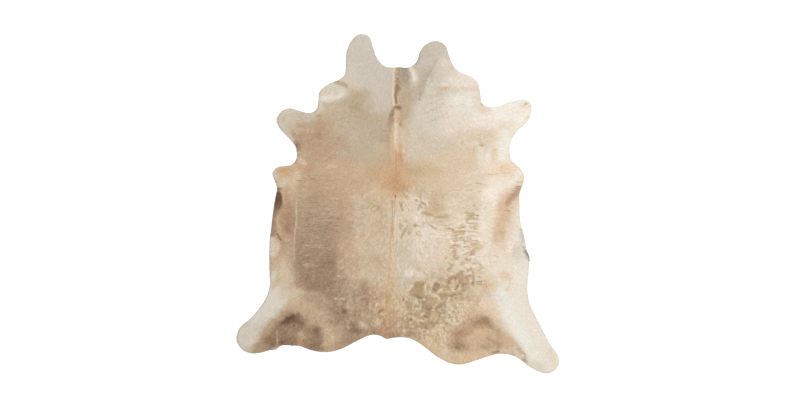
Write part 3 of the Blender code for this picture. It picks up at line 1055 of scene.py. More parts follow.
# The marks on it, each painted over the ones before. A patch has its tone; its middle's place
# across and along, half its length and half its width, in millimetres; how much it covers, in
# hundredths; its turn in degrees, if it is turned; how soft it is in tenths, if that isn't 9; and
# its pattern, if it has one. A streak has its tone, its places and half its width, or None for a
# plate, and then its cover, its softness and its pattern.
MARK_ROWS = [
    # Left neck lobe and its root
    ("silver", -230, 1080, 50, 80, 50), ("oat", -320, 862, 70, 38, 75, 80),
    ("khaki", -260, 720, 80, 34, 50, -18), ("khaki", -250, 615, 100, 36, 40, -30),
    ("stone", -190, 655, 34, 22, 65), ("wheat", [(-350, 790), (-290, 780), (-240, 762)], 15, 70),
    ("khaki", [(-230, 755), (-195, 735)], 14, 35), ("rust", -300, 600, 14, 6, 40, -30, 8),
    ("rust", -285, 575, 14, 6, 35, -30, 8), ("taupe", [(-360, 660), (-240, 610)], 3, 35, 8),
    ("taupe", [(-330, 585), (-220, 560)], 3, 35, 8),
    # Left cheek
    ("snow", [(-510, 695), (-440, 702), (-370, 732)], 18, 55),
    ("khaki", [(-420, 812), (-380, 795), (-345, 782)], 13, 75), ("blush", -490, 735, 34, 18, 55, 20),
    ("silver", -460, 765, 40, 14, 60, 30), ("ash", -430, 748, 40, 14, 40, 20, 9, "mottle"),
    ("sand", -460, 630, 80, 28, 45), ("blush", [(-528, 650), (-530, 600)], 10, 50),
    ("rust", -522, 575, 30, 14, 45, 105),
    # Left foreleg and shoulder
    ("oat", -780, 540, 40, 16, 60, 80), ("silver", -735, 560, 45, 20, 45, 80),
    ("camel", -763, 555, 22, 10, 55, 80), ("silver", -700, 615, 34, 14, 50, 15),
    ("putty", -672, 490, 30, 18, 65, 80), ("silver", [(-775, 505), (-737, 458), (-706, 422)], 18, 90),
    ("oat", [(-515, 665), (-503, 630), (-530, 605)], 13, 70), ("linen", -585, 595, 30, 14, 60),
    ("rust", -600, 520, 100, 28, 32, 0, 9, "mottle"), ("stone", -645, 500, 50, 30, 40, 0, 9, "flecks"),
    ("rust", -545, 450, 70, 50, 40, 75, 9, "mottle"), ("taupe", -560, 430, 90, 60, 35, 0, 9, "mottle"),
    ("hazel", -525, 440, 30, 10, 40, 70), ("cream", [(-603, 510), (-602, 470)], 4, 70, 8),
    ("hazel", -693, 455, 24, 9, 60, 75, 8), ("taupe", -650, 440, 50, 24, 60, -75),
    ("umber", -666, 378, 30, 14, 90, -62), ("rust", -652, 372, 16, 8, 50, -60, 8),
    ("cream", -656, 340, 8, 6, 75, 0, 8), ("stone", -625, 325, 40, 24, 60, 60),
    ("clay", -440, 390, 80, 40, 35, 0, 9, "mottle"), ("clay", -550, 365, 90, 34, 60, 10, 10),
    ("taupe", -580, 398, 50, 28, 35, 0, 10), ("fawn", -510, 195, 60, 20, 60, 0, 10),
    ("stone", -365, 335, 50, 24, 50, 0, 10), ("sand", -115, 350, 34, 34, 55, 0, 10),
    ("honey", -693, 246, 28, 19, 95, 10), ("cocoa", [(-682, 290), (-692, 272)], 5, 90, 8),
    ("blush", [(-662, 295), (-640, 278), (-618, 262)], 14, 60, 10),
    ("orange", [(-665, 246), (-638, 230), (-600, 222)], 13, 65), ("rust", -585, 224, 30, 14, 35),
    ("hazel", [(-470, 318), (-410, 318)], 3, 45, 8), ("hazel", [(-465, 300), (-410, 301)], 3, 40, 8),
    ("cream", [(-480, 245), (-410, 243)], 4, 40, 8), ("cream", [(-470, 257), (-420, 256)], 3, 30, 8),
    # Left elbow
    ("silver", [(-760, 252), (-810, 238), (-828, 205), (-812, 165)], 13, 70),
    ("orange", -755, 218, 36, 18, 80, 4), ("orange", -740, 192, 20, 14, 55),
    ("blush", -665, 190, 34, 24, 50, 80), ("oat", -755, 133, 36, 22, 85, 20, 10),
    ("mocha", [(-680, 152), (-620, 153), (-560, 158)], 2.6, 65, 8),
    ("mocha", [(-625, 166), (-575, 162), (-540, 170)], 2.6, 50, 8),
    ("taupe", [(-610, 185), (-560, 190), (-520, 184)], 3, 50, 8),
    ("taupe", [(-545, 152), (-460, 155), (-380, 160)], 3, 45, 8),
    ("taupe", [(-520, 178), (-440, 182)], 3, 35, 8), ("wheat", -482, 110, 18, 9, 60, 0, 8),
    # Left flank's rim
    ("rust", -745, 80, 50, 26, 40, 90), ("clay", -742, -20, 70, 34, 55, 90),
    ("peach", -712, 60, 40, 22, 60, 88, 10), ("peach", -762, 20, 50, 10, 60, 90), ("cocoa", [(-812, 86),
        (-783, 76), (-767, 40), (-768, 0), (-782, -36), (-810, -56), (-850, -56),
        (-850, 86)], None, 100, 5), ("bark", -790, 30, 40, 14, 60, 92),
    ("umber", -808, -55, 26, 17, 85, 80), ("umber", -795, 98, 20, 7, 85, 10, 8),
    ("umber", -786, 86, 14, 5, 60, 10, 8),
    ("hazel", [(-815, -55), (-830, -120), (-830, -212)], 18, 90, 7),
    ("peach", [(-797, -60), (-797, -130), (-785, -205)], 13, 50), ("rust", -738, -110, 100, 36, 75, 88),
    ("hazel", -735, -120, 85, 28, 60, 88, 9, "mottle"), ("mocha", -732, -165, 36, 20, 70, 80),
    ("mocha", -725, -90, 30, 14, 40, 80), ("cream", [(-870, -232), (-812, -228), (-790, -255),
        (-782, -300), (-800, -345), (-870, -355)], None, 65),
    ("silver", [(-840, -230), (-840, -340)], 12, 70),
    ("umber", [(-802, -200), (-790, -224), (-776, -243)], 6, 85, 7),
    ("hazel", -766, -272, 18, 12, 60, 80), ("peach", [(-750, -235), (-748, -250)], 8, 60),
    ("camel", -735, -340, 80, 30, 55, 88), ("camel", -830, -395, 30, 16, 70, 88),
    ("blush", -770, -415, 50, 14, 40, 88), ("camel", -802, -390, 40, 22, 70, 88),
    ("silver", -825, -478, 30, 16, 75, 70),
    ("camel", [(-832, -560), (-810, -530), (-795, -500)], 15, 55, 10),
    ("wheat", -745, -480, 60, 24, 35, 88), ("camel", -712, -545, 44, 24, 75, 80),
    ("clay", -650, -90, 70, 18, 65, 88), ("hazel", -703, -125, 40, 9, 45, 88),
    # Painted highlight along the crest of the packing crease down the left flank (cream, blush).
    ("cream", [(-676, 15), (-676, -100), (-677, -160)], 2.6, 85, 8, "straight"),
    ("blush", [(-684, -165), (-688, -230), (-694, -300), (-689, -365)], 3, 75, 7, "straight"),
    ("taupe", [(-699, -190), (-704, -260), (-700, -320)], 4, 55, 8),
    ("taupe", [(-668, 0), (-668, -150)], 3, 35, 8),
    # Left side: brown with fine lines across
    ("hazel", -570, 20, 60, 50, 45, 80, 9, "mottle"), ("taupe", -550, 8, 80, 40, 75, 0, 10),
    ("camel", -625, 90, 70, 36, 50, 85, 10), ("fawn", -385, -292, 60, 30, 85, 88, 10),
    ("honey", -400, 150, 70, 50, 35), ("sand", -480, -30, 120, 60, 40, 0, 9, "streaks"),
    ("peach", -430, -100, 50, 20, 30, 0, 9, "streaks"),
    ("rust", -550, -60, 40, 24, 30, 0, 9, "streaks"),
    ("camel", -550, -140, 130, 90, 45, 0, 9, "streaks"), ("mocha", [(-684, -290), (-560, -262),
        (-480, -290), (-444, -350), (-444, -440), (-425, -520), (-440, -590), (-560, -590),
        (-684, -550)], None, 35, 10), ("mocha", -430, -390, 120, 34, 30, 88, 10),
    ("drab", -400, -545, 40, 70, 45, 80, 10), ("clay", -390, -200, 120, 40, 45, 88, 10),
    ("umber", -550, -340, 130, 100, 35, 0, 9, "streaks"),
    ("camel", -570, -300, 120, 70, 40, 0, 9, "streaks"),
    ("wheat", [(-618, -277), (-500, -279)], 2.6, 55, 7),
    ("wheat", [(-600, -290), (-480, -291)], 2.6, 55, 7),
    ("hazel", [(-610, -284), (-500, -285)], 2.2, 60, 7), ("umber", -600, -366, 16, 9, 60),
    ("wheat", [(-630, -345), (-600, -346)], 2.6, 45, 8),
    ("umber", [(-620, -356), (-590, -356)], 2.6, 45, 8),
    ("camel", [(-585, -375), (-560, -385), (-530, -380)], 3, 50, 8),
    ("umber", [(-580, -387), (-550, -395)], 3, 45, 8),
    ("camel", -600, -412, 40, 18, 65, 4, 9, "mottle"), ("khaki", -660, -460, 40, 22, 30, 80),
    ("umber", -440, -400, 55, 18, 40, 85), ("umber", -550, -465, 40, 18, 35, 85, 9, "mottle"),
    ("umber", -530, -540, 70, 40, 30), ("rust", -655, -535, 40, 24, 45, -20),
    ("umber", -430, -560, 50, 34, 25), ("taupe", -505, -640, 50, 30, 60, -10, 10),
    ("camel", [(-425, -380), (-400, -345), (-360, -330), (-345, -430), (-350, -495), (-395, -490),
        (-420, -440)], None, 25, 10), ("taupe", -376, -430, 90, 30, 50, 88, 10),
    ("cream", [(-405, -385), (-385, -395), (-370, -385)], 4, 60, 8),
    ("cream", [(-400, -415), (-385, -428), (-362, -425)], 4, 55, 8),
    ("taupe", [(-395, -465), (-380, -455)], 4, 60, 8),
    ("cream", [(-402, -482), (-380, -490), (-352, -482)], 5, 65, 8),
    ("khaki", -340, -170, 50, 30, 35, 80), ("peach", -290, -280, 90, 45, 35, 80),
    # Centre left: fine mottling in pink, green and brown beige
    ("clay", -200, -10, 100, 50, 40, 0, 8, "flecks"), ("cream", -280, 20, 50, 50, 45, 0, 9, "mottle"),
    ("sand", -175, -70, 36, 20, 75), ("honey", -310, -93, 30, 18, 60), ("sand", -224, -226, 34, 22, 65),
    ("fawn", -542, 113, 60, 24, 50, 0, 10), ("honey", -190, -6, 26, 13, 75, 10),
    ("wheat", -78, -450, 70, 18, 50, 88, 10), ("taupe", -372, -508, 36, 28, 55, 0, 10),
    ("rust", -140, -30, 50, 34, 50, 30, 8, "flecks"), ("cream", -220, 60, 60, 34, 45, 0, 9, "flecks"),
    ("cream", -90, 10, 40, 50, 55, 0, 8, "flecks"), ("cream", -60, -70, 16, 60, 60),
    ("fawn", -120, -140, 60, 34, 60, 80, 9, "mottle"),
    ("cream", -215, -220, 100, 60, 40, 70, 9, "mottle"), ("khaki", -235, -210, 14, 12, 60),
    ("stone", -260, -120, 80, 60, 40, 70, 9, "flecks"),
    ("khaki", -160, -360, 50, 30, 40, 0, 9, "mottle"), ("oat", -120, -280, 60, 40, 45, 90, 9, "mottle"),
    ("clay", -280, -420, 60, 50, 45, 0, 9, "mottle"), ("cream", -230, -470, 80, 30, 45, 0, 9, "mottle"),
    ("linen", -150, -470, 50, 40, 45, 0, 9, "flecks"),
    # Lower left: mottled, with dark blots and pale curls
    ("khaki", -230, -530, 45, 26, 50), ("rust", -225, -575, 34, 20, 50, 85),
    ("rust", -212, -632, 32, 24, 75, 85), ("umber", -207, -645, 16, 10, 50, 60),
    ("mocha", -228, -612, 60, 26, 60, 86, 10), ("mocha", -436, -764, 50, 34, 65, 0, 10),
    ("drab", -465, -640, 44, 24, 60, -40, 10), ("umber", -430, -612, 44, 18, 45),
    ("mocha", -380, -665, 36, 20, 50), ("taupe", -503, -685, 44, 28, 75, 0, 10),
    ("sand", -284, -551, 36, 14, 80, -20), ("honey", -290, -677, 28, 15, 75),
    ("clay", -410, -843, 44, 26, 60, 0, 10), ("hazel", -140, -852, 46, 19, 95),
    ("hazel", -300, -615, 34, 16, 50), ("taupe", -330, -570, 30, 14, 50, 10),
    ("umber", -270, -680, 160, 100, 28, 0, 8, "flecks"),
    ("wheat", -250, -690, 170, 110, 55, 0, 8, "scraps"),
    ("umber", -230, -680, 190, 110, 14, 0, 8, "threads"),
    ("wheat", -80, -750, 80, 100, 50, 0, 8, "scraps"), ("mocha", -420, -600, 60, 20, 45),
    ("umber", -400, -730, 55, 45, 55, -40), ("cocoa", -357, -720, 24, 15, 80, -50),
    ("mocha", -400, -790, 40, 24, 50, 20), ("umber", -300, -803, 20, 14, 80, -20),
    ("umber", -312, -845, 26, 15, 85), ("umber", -264, -852, 26, 13, 85, -10),
    ("umber", -285, -835, 60, 34, 45, -10), ("hazel", -350, -870, 40, 20, 50, 20),
    ("hazel", -282, -750, 26, 8, 60, 80), ("sand", -236, -806, 30, 20, 85, -10),
    ("hazel", -250, -598, 22, 14, 55), ("clay", -200, -750, 28, 18, 70),
    ("fawn", -250, -700, 22, 16, 60), ("honey", -150, -698, 22, 14, 60),
    ("honey", -120, -598, 24, 14, 80), ("camel", -18, -700, 16, 22, 50),
    ("wheat", 20, -640, 50, 16, 65, 88), ("wheat", 18, -700, 24, 14, 75, 88),
    ("wheat", 30, -588, 30, 20, 50, 88), ("camel", 0, -785, 30, 18, 80), ("fawn", 42, -742, 14, 12, 60),
    ("mocha", -423, -762, 40, 26, 40, 0, 10), ("taupe", -390, -843, 44, 24, 50, 0, 10),
    ("umber", [(-100, -700), (-112, -714), (-130, -723)], 7, 80), ("rust", -192, -775, 16, 8, 75, -30),
    ("umber", -180, -785, 8, 6, 50), ("wheat", -135, -795, 32, 18, 70, 10),
    ("camel", -170, -735, 40, 30, 50, 0, 9, "flecks"),
    ("sand", [(-497, -624), (-489, -648), (-472, -664)], 6, 90, 7),
    ("sand", [(-425, -636), (-405, -632), (-390, -643)], 5, 80, 7),
    ("sand", [(-384, -628), (-355, -633)], 6, 90, 7),
    ("sand", [(-457, -752), (-448, -766), (-425, -776)], 6, 60, 8),
    ("camel", [(-338, -808), (-328, -830)], 6, 75, 8),
    # Left haunch and hind leg
    ("camel", -600, -710, 90, 40, 60), ("camel", -500, -740, 60, 40, 60),
    ("sand", -690, -648, 70, 30, 80, 50, 10), ("taupe", -555, -628, 70, 24, 70, -5, 10),
    ("fawn", [(-945, -975), (-895, -905), (-835, -818), (-775, -742), (-735, -715),
        (-660, -712)], 34, 80, 10), ("hazel", [(-895, -955), (-830, -890), (-780, -820)], 42, 60, 10),
    ("oat", [(-975, -930), (-930, -845), (-870, -775), (-810, -725)], 22, 60, 10),
    ("mocha", -760, -860, 120, 75, 80, 8, 10), ("umber", -722, -797, 88, 36, 80, 18, 10),
    ("cocoa", -705, -795, 80, 28, 50, 0, 10, "mottle"),
    ("bark", -690, -800, 80, 40, 35, 0, 10, "chips"), ("fawn", -690, -830, 110, 50, 45, 0, 10, "slits"),
    ("bark", -703, -757, 40, 22, 100, 12, 8), ("bark", -745, -784, 34, 15, 75, 20),
    ("drab", -742, -726, 40, 17, 75, 10), ("umber", -714, -732, 22, 10, 50, 10),
    ("camel", -594, -755, 26, 14, 60), ("umber", -650, -782, 40, 26, 85, -50),
    ("cocoa", -678, -774, 30, 20, 60, -20, 10), ("camel", -563, -792, 44, 22, 80, 0, 10),
    ("fawn", -500, -900, 50, 24, 50, 88, 10), ("umber", [(-635, -825), (-620, -850)], 9, 60),
    ("umber", -626, -843, 28, 15, 60, -60), ("clay", -795, -950, 34, 11, 65),
    ("clay", -655, -938, 32, 10, 75, -5), ("clay", -370, -950, 50, 18, 60, 20, 10),
    ("clay", -157, -797, 24, 14, 60), ("umber", -806, -812, 34, 12, 45, 40),
    ("fawn", -842, -818, 50, 22, 65, 50, 10), ("umber", -785, -868, 44, 28, 55, 0, 10),
    ("umber", -850, -908, 34, 22, 75, 0, 10), ("umber", -830, -930, 24, 14, 65, 10),
    ("umber", -545, -865, 44, 30, 90, 85), ("cocoa", -540, -850, 22, 16, 75, 60),
    ("umber", -542, -925, 34, 24, 70, 80, 10), ("mocha", -565, -885, 34, 24, 70),
    ("umber", -518, -900, 44, 20, 70, 85), ("umber", -552, -955, 55, 17, 90, -10),
    ("camel", -640, -870, 40, 24, 85, 70, 10), ("orange", -655, -922, 26, 10, 40, -10),
    ("cocoa", -770, -922, 28, 13, 85, 15), ("umber", [(-745, -930), (-692, -934)], 10, 60),
    ("hazel", -925, -948, 40, 22, 80, 8), ("stone", -985, -965, 30, 20, 65, 20),
    ("taupe", -950, -980, 40, 16, 75, 8),
    ("camel", [(-806, -845), (-804, -900), (-802, -942)], 4.5, 75, 9, "straight"),
    ("wheat", [(-804, -905), (-802, -935)], 4, 60, 8, "straight"),
    ("silver", [(-842, -973), (-798, -962)], 6, 80, 6), ("oat", -880, -700, 120, 30, 40, 52),
    # Spine of the neck
    ("shell", [(-29, 905), (-29, 780), (-30, 655)], 8, 80, 7),
    ("clay", [(-4, 905), (-4, 790), (-8, 665)], 15, 85, 5),
    ("hazel", [(-3, 860), (-4, 740)], 13, 55, 7, "beads"), ("wheat", [(-10, 890), (-6, 870)], 6, 70, 8),
    ("taupe", [(6, 905), (2, 870)], 8, 60, 8), ("umber", [(4, 775), (4, 755)], 8, 85, 8),
    ("umber", [(-8, 800), (-6, 770)], 6, 60, 8, "beads"), ("umber", -12, 742, 18, 9, 90, 85, 8),
    ("umber", -15, 708, 16, 8, 85, 100, 8), ("umber", -10, 680, 16, 7, 90, 95, 8),
    ("camel", [(4, 740), (4, 670)], 5, 60, 8), ("wheat", 2, 716, 14, 5, 75, 90, 7),
    ("wheat", 4, 690, 14, 5, 75, 80, 7), ("shell", 6, 662, 10, 5, 70, 90, 7),
    ("wheat", -18, 882, 7, 6, 90, 0, 7), ("wheat", -3, 846, 8, 6, 80, 0, 7),
    ("cream", -15, 822, 7, 6, 75, 0, 7), ("wheat", -3, 800, 6, 5, 60, 0, 7),
    ("cocoa", -4, 888, 8, 5, 70, 0, 7), ("umber", 3, 862, 7, 6, 70, 0, 7),
    ("cocoa", -12, 775, 10, 5, 45, 90, 7), ("umber", -2, 823, 8, 6, 60, 90, 7),
    ("wheat", -10, 660, 10, 5, 70, 0, 8), ("bark", [(-28, 641), (-12, 646)], 5, 85, 7),
    ("bark", [(-8, 641), (4, 636), (12, 629)], 5, 85, 7),
    ("mocha", [(-32, 634), (-36, 600), (-44, 575)], 6, 85, 8),
    ("mocha", [(-40, 610), (-50, 560)], 12, 60), ("mocha", [(-48, 582), (-55, 532)], 13, 65),
    ("mocha", 8, 627, 18, 10, 85, -25), ("umber", 3, 632, 20, 10, 75, -20),
    # The drab patch below is painted shade at the top of the hollow right of the notch.
    ("hazel", -44, 558, 12, 14, 65), ("drab", 28, 888, 18, 10, 55, 60),
    ("fawn", [(-50, 560), (-56, 510)], 14, 70), ("fawn", [(-60, 490), (-55, 400)], 16, 60),
    ("fawn", [(18, 620), (26, 570), (20, 520)], 13, 65), ("rust", 13, 530, 16, 11, 75, 80),
    ("peach", [(-8, 615), (-10, 520)], 18, 80), ("shell", [(-12, 520), (-14, 350)], 14, 75),
    ("blush", [(-14, 600), (-14, 530)], 3, 70, 8), ("shell", [(-18, 530), (-18, 400)], 5, 80, 8),
    ("rust", 3, 566, 8, 4, 70, 80, 8), ("cream", [(30, 480), (45, 380), (55, 300)], 14, 50),
    ("hazel", -80, 440, 50, 50, 40, 0, 9, "streaks"),
    # The orange glow on the back
    ("peach", [(-46, 450), (-40, 330)], 13, 70, 10), ("orange", [(12, 380), (12, 300)], 12, 40, 10),
    ("wheat", [(45, 450), (50, 300)], 24, 60, 10), ("rust", [(16, 330), (16, 280)], 12, 35),
    ("orange", -30, 210, 120, 80, 55, 90, 10), ("orange", -5, 230, 120, 30, 60, 90),
    ("honey", [(-260, 200), (-140, 190), (0, 210), (120, 200), (240, 180)], 45, 45, 10),
    ("orange", [(-180, 200), (-80, 190), (40, 200)], 40, 35, 10), ("khaki", 110, 215, 60, 30, 30, -10),
    ("khaki", -140, 215, 40, 20, 30, 20), ("rust", -12, 150, 50, 22, 45, 90),
    ("orange", -10, 92, 22, 16, 90), ("orange", -20, 95, 36, 22, 80, 10),
    ("rust", -14, 86, 22, 12, 60, 10), ("orange", -72, 152, 24, 18, 60), ("honey", 30, 32, 24, 15, 60),
    ("camel", 60, 78, 34, 14, 60, -10), ("orange", 58, 130, 50, 26, 45, -5, 10),
    ("khaki", 40, 105, 40, 18, 65, -10), ("rust", 20, 85, 30, 10, 45), ("rust", -65, 125, 30, 14, 40),
    ("peach", [(-26, 380), (-26, 200)], 3, 70, 8), ("rust", [(-16, 360), (-14, 200)], 2.6, 50, 8),
    ("peach", [(-4, 340), (-4, 220)], 2.6, 40, 8), ("umber", -25, 108, 10, 6, 80, 40, 8),
    ("umber", -10, 94, 10, 6, 45, 60, 8),
    # Spine of the back
    ("peach", [(-26, 90), (-26, -30)], 18, 80), ("umber", -32, 60, 6, 4, 70, 50, 8),
    ("cocoa", -19, 45, 11, 6, 95, 80, 7), ("hazel", [(-39, 20), (-37, -120)], 3.2, 65, 8),
    ("hazel", [(-23, 10), (-26, -120)], 3.2, 55, 8), ("shell", [(-31, -10), (-31, -130)], 3, 85, 8),
    ("orange", [(-40, -130), (-43, -235)], 11, 80, 8), ("milk", [(-18, -80), (-22, -260)], 6, 50),
    ("linen", [(-60, -80), (-64, -260)], 8, 60),
    ("peach", [(-44, -240), (-52, -400), (-64, -500)], 14, 50, 10),
    ("shell", [(-34, -260), (-40, -480)], 5, 35),
    ("camel", [(-48, -250), (-55, -400), (-64, -540)], 3.5, 65, 8),
    ("orange", [(-64, -300), (-70, -460)], 3.5, 45, 8),
    ("orange", [(-67, -555), (-68, -700), (-70, -840)], 26, 55, 10, "mottle"),
    ("rust", -100, -615, 36, 17, 50), ("rust", -72, -825, 65, 32, 80, 90),
    ("rust", [(-78, -775), (-80, -830)], 20, 55, 9, "mottle"), ("honey", -66, -698, 30, 14, 75, 88),
    ("rust", -118, -832, 22, 14, 55), ("hazel", [(-78, -640), (-80, -760)], 3, 50, 8),
    ("rust", [(-165, -832), (-130, -830), (-105, -850)], 12, 45), ("umber", -40, -876, 24, 14, 75),
    ("wheat", [(-72, -775), (-70, -815)], 4, 75, 8), ("hazel", [(-92, -780), (-92, -820)], 4, 60, 8),
    # Right of the notch
    # Painted shade in the hollow to the right of the notch, and along the notch's edge.
    ("shade", 48, 850, 60, 34, 80, 88), ("shade", 50, 862, 30, 18, 40, 85),
    ("greige", 100, 800, 34, 24, 60, 80), ("shade", [(100, 910), (122, 945), (134, 990)], 16, 40, 10),
    ("stone", 64, 606, 50, 28, 90, 90, 10), ("khaki", 62, 615, 34, 18, 30, 90, 10),
    # Painted shade along the top of that hollow (taupe), and a painted highlight on the lit side of the
    # crease beside it (ivory, snow).
    ("taupe", [(0, 900), (60, 900)], 8, 50), ("ivory", [(78, 905), (96, 880), (108, 825)], 18, 70, 10),
    ("snow", 104, 835, 36, 18, 35, 90, 10), ("stone", 55, 720, 80, 40, 50, 90, 10),
    ("khaki", 40, 740, 80, 30, 35, 90, 9, "ticks"),
    # Painted shade along the fold that runs down from the right neck lobe, with a painted highlight on
    # its lit right side (oat).
    ("shade", [(262, 965), (235, 915), (208, 865), (185, 810)], 8, 30, 10),
    ("stone", [(180, 830), (150, 730)], 22, 55, 10), ("shade", [(150, 735), (138, 690)], 8, 45, 10),
    ("oat", [(205, 830), (190, 760)], 12, 55), ("cream", [(310, 925), (360, 925)], 10, 60),
    ("greige", 300, 860, 60, 30, 70, 20), ("ash", 160, 1010, 50, 24, 60, 60, 10),
    ("ivory", 382, 882, 28, 12, 80, -40), ("milk", 600, 538, 60, 30, 50, 0, 10),
    # The shade patch below is painted shade at the right neck lobe's outer edge.
    ("shade", 356, 898, 20, 9, 30, -50), ("ivory", 310, 790, 30, 14, 70, 10),
    ("greige", 250, 760, 30, 18, 60, 20), ("honey", 300, 757, 34, 15, 85, 10),
    ("orange", 315, 757, 16, 7, 20, 5), ("sand", [(215, 705), (285, 728)], 13, 50),
    ("blush", [(335, 755), (430, 765), (520, 755)], 12, 55), ("oat", 95, 450, 130, 22, 60, 92, 10),
    ("linen", 150, 440, 90, 40, 50, 90), ("stone", [(160, 590), (240, 635)], 3, 45, 8),
    ("stone", [(180, 652), (300, 695)], 3, 45, 8), ("stone", [(190, 605), (310, 668)], 3, 40, 8),
    ("stone", [(220, 555), (330, 605)], 3, 40, 8), ("stone", [(150, 640), (230, 675)], 3, 35, 8),
    ("stone", [(200, 535), (300, 575)], 3, 35, 8), ("linen", [(340, 640), (440, 660)], 3, 45, 8),
    # Right cheek and foreleg
    ("cream", 400, 850, 60, 20, 40, -25), ("pearl", 460, 815, 50, 24, 40, -25),
    ("chalk", 400, 694, 30, 26, 90, 80), ("chalk", 355, 720, 20, 14, 60, -10),
    ("chalk", 465, 682, 34, 16, 60, 10), ("blush", 530, 706, 16, 14, 60),
    ("fawn", 557, 656, 14, 8, 95, -50, 8), ("blush", 575, 622, 44, 24, 70, -10),
    ("shell", 573, 628, 30, 12, 60, -10), ("chalk", 680, 630, 70, 20, 60, 14),
    ("blush", 838, 652, 24, 14, 75, 20), ("clay", 850, 664, 9, 5, 90, 20, 8),
    ("shell", [(730, 612), (790, 640), (830, 655)], 8, 35), ("blush", 850, 565, 30, 12, 40, 50),
    ("cream", 715, 520, 60, 24, 65, 10), ("snow", 520, 560, 50, 40, 40),
    ("sand", 400, 430, 50, 20, 50, 90, 9, "mottle"), ("camel", 425, 405, 14, 8, 60, 80),
    ("wheat", 500, 435, 30, 34, 60, 0, 9, "mottle"), ("camel", 558, 405, 42, 16, 60, -70, 9, "mottle"),
    ("khaki", 553, 387, 12, 8, 65), ("camel", 500, 345, 28, 8, 50, 90),
    ("wheat", 620, 440, 50, 30, 50, 0, 9, "mottle"), ("ivory", 545, 330, 40, 20, 60, 80),
    ("snow", 600, 320, 40, 18, 50, 90),
    # Right elbow
    ("chalk", 708, 400, 80, 26, 40, 80), ("milk", 675, 385, 44, 22, 50, 80, 10),
    ("camel", 150, 133, 70, 24, 35, 0, 10), ("peach", 640, 340, 44, 22, 50, 85),
    ("camel", 645, 350, 14, 8, 40, 80), ("shell", 645, 290, 30, 16, 80, 85),
    ("shell", 650, 228, 90, 26, 80, 4), ("apricot", 698, 240, 36, 24, 90, 0, 10),
    ("honey", 690, 238, 16, 12, 35), ("blush", 740, 225, 20, 16, 70),
    ("camel", [(595, 191), (660, 196), (740, 205)], 3.5, 55, 8),
    ("chalk", [(740, 135), (780, 160), (810, 205)], 22, 75), ("pearl", 650, 150, 70, 24, 70),
    ("blush", [(800, 140), (825, 140)], 12, 90),
    # Brown band down the right flank
    ("blush", 775, -20, 90, 24, 75, 88),
    ("fawn", [(795, 78), (772, 60), (742, 32), (722, 0), (712, -40), (705, -90)], 34, 75, 10),
    ("peach", [(712, -50), (700, -120), (690, -180)], 40, 80, 10),
    ("rust", [(800, 90), (760, 45), (725, 5)], 17, 60, 10), ("rust", 724, 6, 26, 14, 50, 60),
    ("peach", 706, 62, 50, 22, 40, 60, 10), ("peach", 704, 34, 24, 16, 60, 60, 10),
    ("wheat", 672, -10, 60, 18, 70, 88, 10),
    ("cocoa", [(788, 114), (820, 112)], 2.4, 80, 8, "straight"),
    ("umber", [(775, 100), (812, 99)], 2.6, 60, 7, "straight"),
    ("umber", [(760, 50), (798, 48)], 3, 45, 7, "straight"),
    ("umber", [(775, 64), (798, 63)], 3, 40, 7, "straight"), ("rust", [(695, -45), (742, -46)], 6, 70),
    ("blush", 680, 10, 50, 16, 60, 88), ("peach", 677, -28, 40, 16, 65, 88),
    ("peach", 672, -190, 100, 40, 65, 86, 10), ("honey", 650, -225, 46, 22, 80, 85),
    ("orange", [(668, -120), (672, -200)], 4, 40), ("orange", [(640, -190), (645, -250)], 4, 40),
    ("camel", 690, -230, 46, 16, 50, 85), ("fawn", [(694, -190), (694, -240)], 3.5, 55, 8),
    ("shell", [(655, -267), (705, -264)], 3, 70, 8),
    ("wheat", [(690, -285), (712, -310), (730, -345)], 10, 70), ("blush", 750, -170, 60, 20, 60, 80),
    ("pearl", [(728, -312), (742, -275), (782, -235)], 16, 95, 8), ("oat", 800, -310, 60, 34, 80, 85),
    ("putty", 768, -320, 40, 10, 50, 85), ("silver", 818, -225, 50, 14, 80, 104),
    ("ash", [(812, -170), (828, -250)], 6, 60),
    # Painted shadow along the right flank's edge, where the rim curls up and the shade under it shows.
    ("moss", [(846, -315), (857, -338), (866, -358), (868, -378)], 4.8, 95, 8),
    ("moss", [(832, -285), (846, -315)], 2.8, 60), ("shade", [(838, -310), (856, -365)], 10, 35),
    ("stone", [(632, -345), (665, -355)], 3, 70, 8), ("stone", [(635, -385), (655, -388)], 3, 45, 8),
    ("blush", 705, -478, 40, 27, 90, 8, 8), ("wheat", 700, -478, 26, 17, 50, 8, 10),
    ("stone", [(742, -495), (746, -530), (735, -555)], 4, 40), ("blush", 722, -572, 24, 12, 70, 10),
    ("cream", 610, -380, 100, 12, 50, 90),
    # Back, right of the spine: khaki flecks
    ("shell", 80, 10, 90, 60, 40, 0, 9, "flecks"), ("khaki", 50, 0, 60, 50, 35, 0, 9, "worms"),
    ("khaki", 140, 80, 40, 24, 45), ("hazel", [(30, 68), (65, 37)], 9, 65, 8, "beads"),
    ("khaki", [(10, 60), (30, 42)], 5, 60, 8), ("khaki", 10, 2, 10, 6, 75, 40, 8),
    ("khaki", 25, -10, 18, 8, 85, 85, 8), ("hazel", 27, -42, 8, 6, 75, 0, 8),
    ("shell", [(40, 25), (78, 16)], 6, 80, 8), ("cream", 155, 5, 45, 36, 75, 0, 8),
    ("khaki", 122, 20, 9, 7, 80, 0, 8), ("khaki", 148, 48, 16, 6, 75, 85, 8),
    ("hazel", 140, -16, 20, 13, 85, 20, 8, "frayed"), ("khaki", 130, -36, 10, 6, 80, 0, 8),
    ("hazel", [(152, 14), (168, 3), (184, -12)], 5, 70, 8),
    ("ivory", [(160, 20), (185, 8), (195, -10)], 5, 80, 8),
    ("ivory", [(150, -40), (130, -60)], 8, 70, 8),
    # The golden block and the ragged lines below it
    ("camel", [(200, 60), (216, -18), (160, -58), (180, -80), (270, -94), (300, -82), (335, -70),
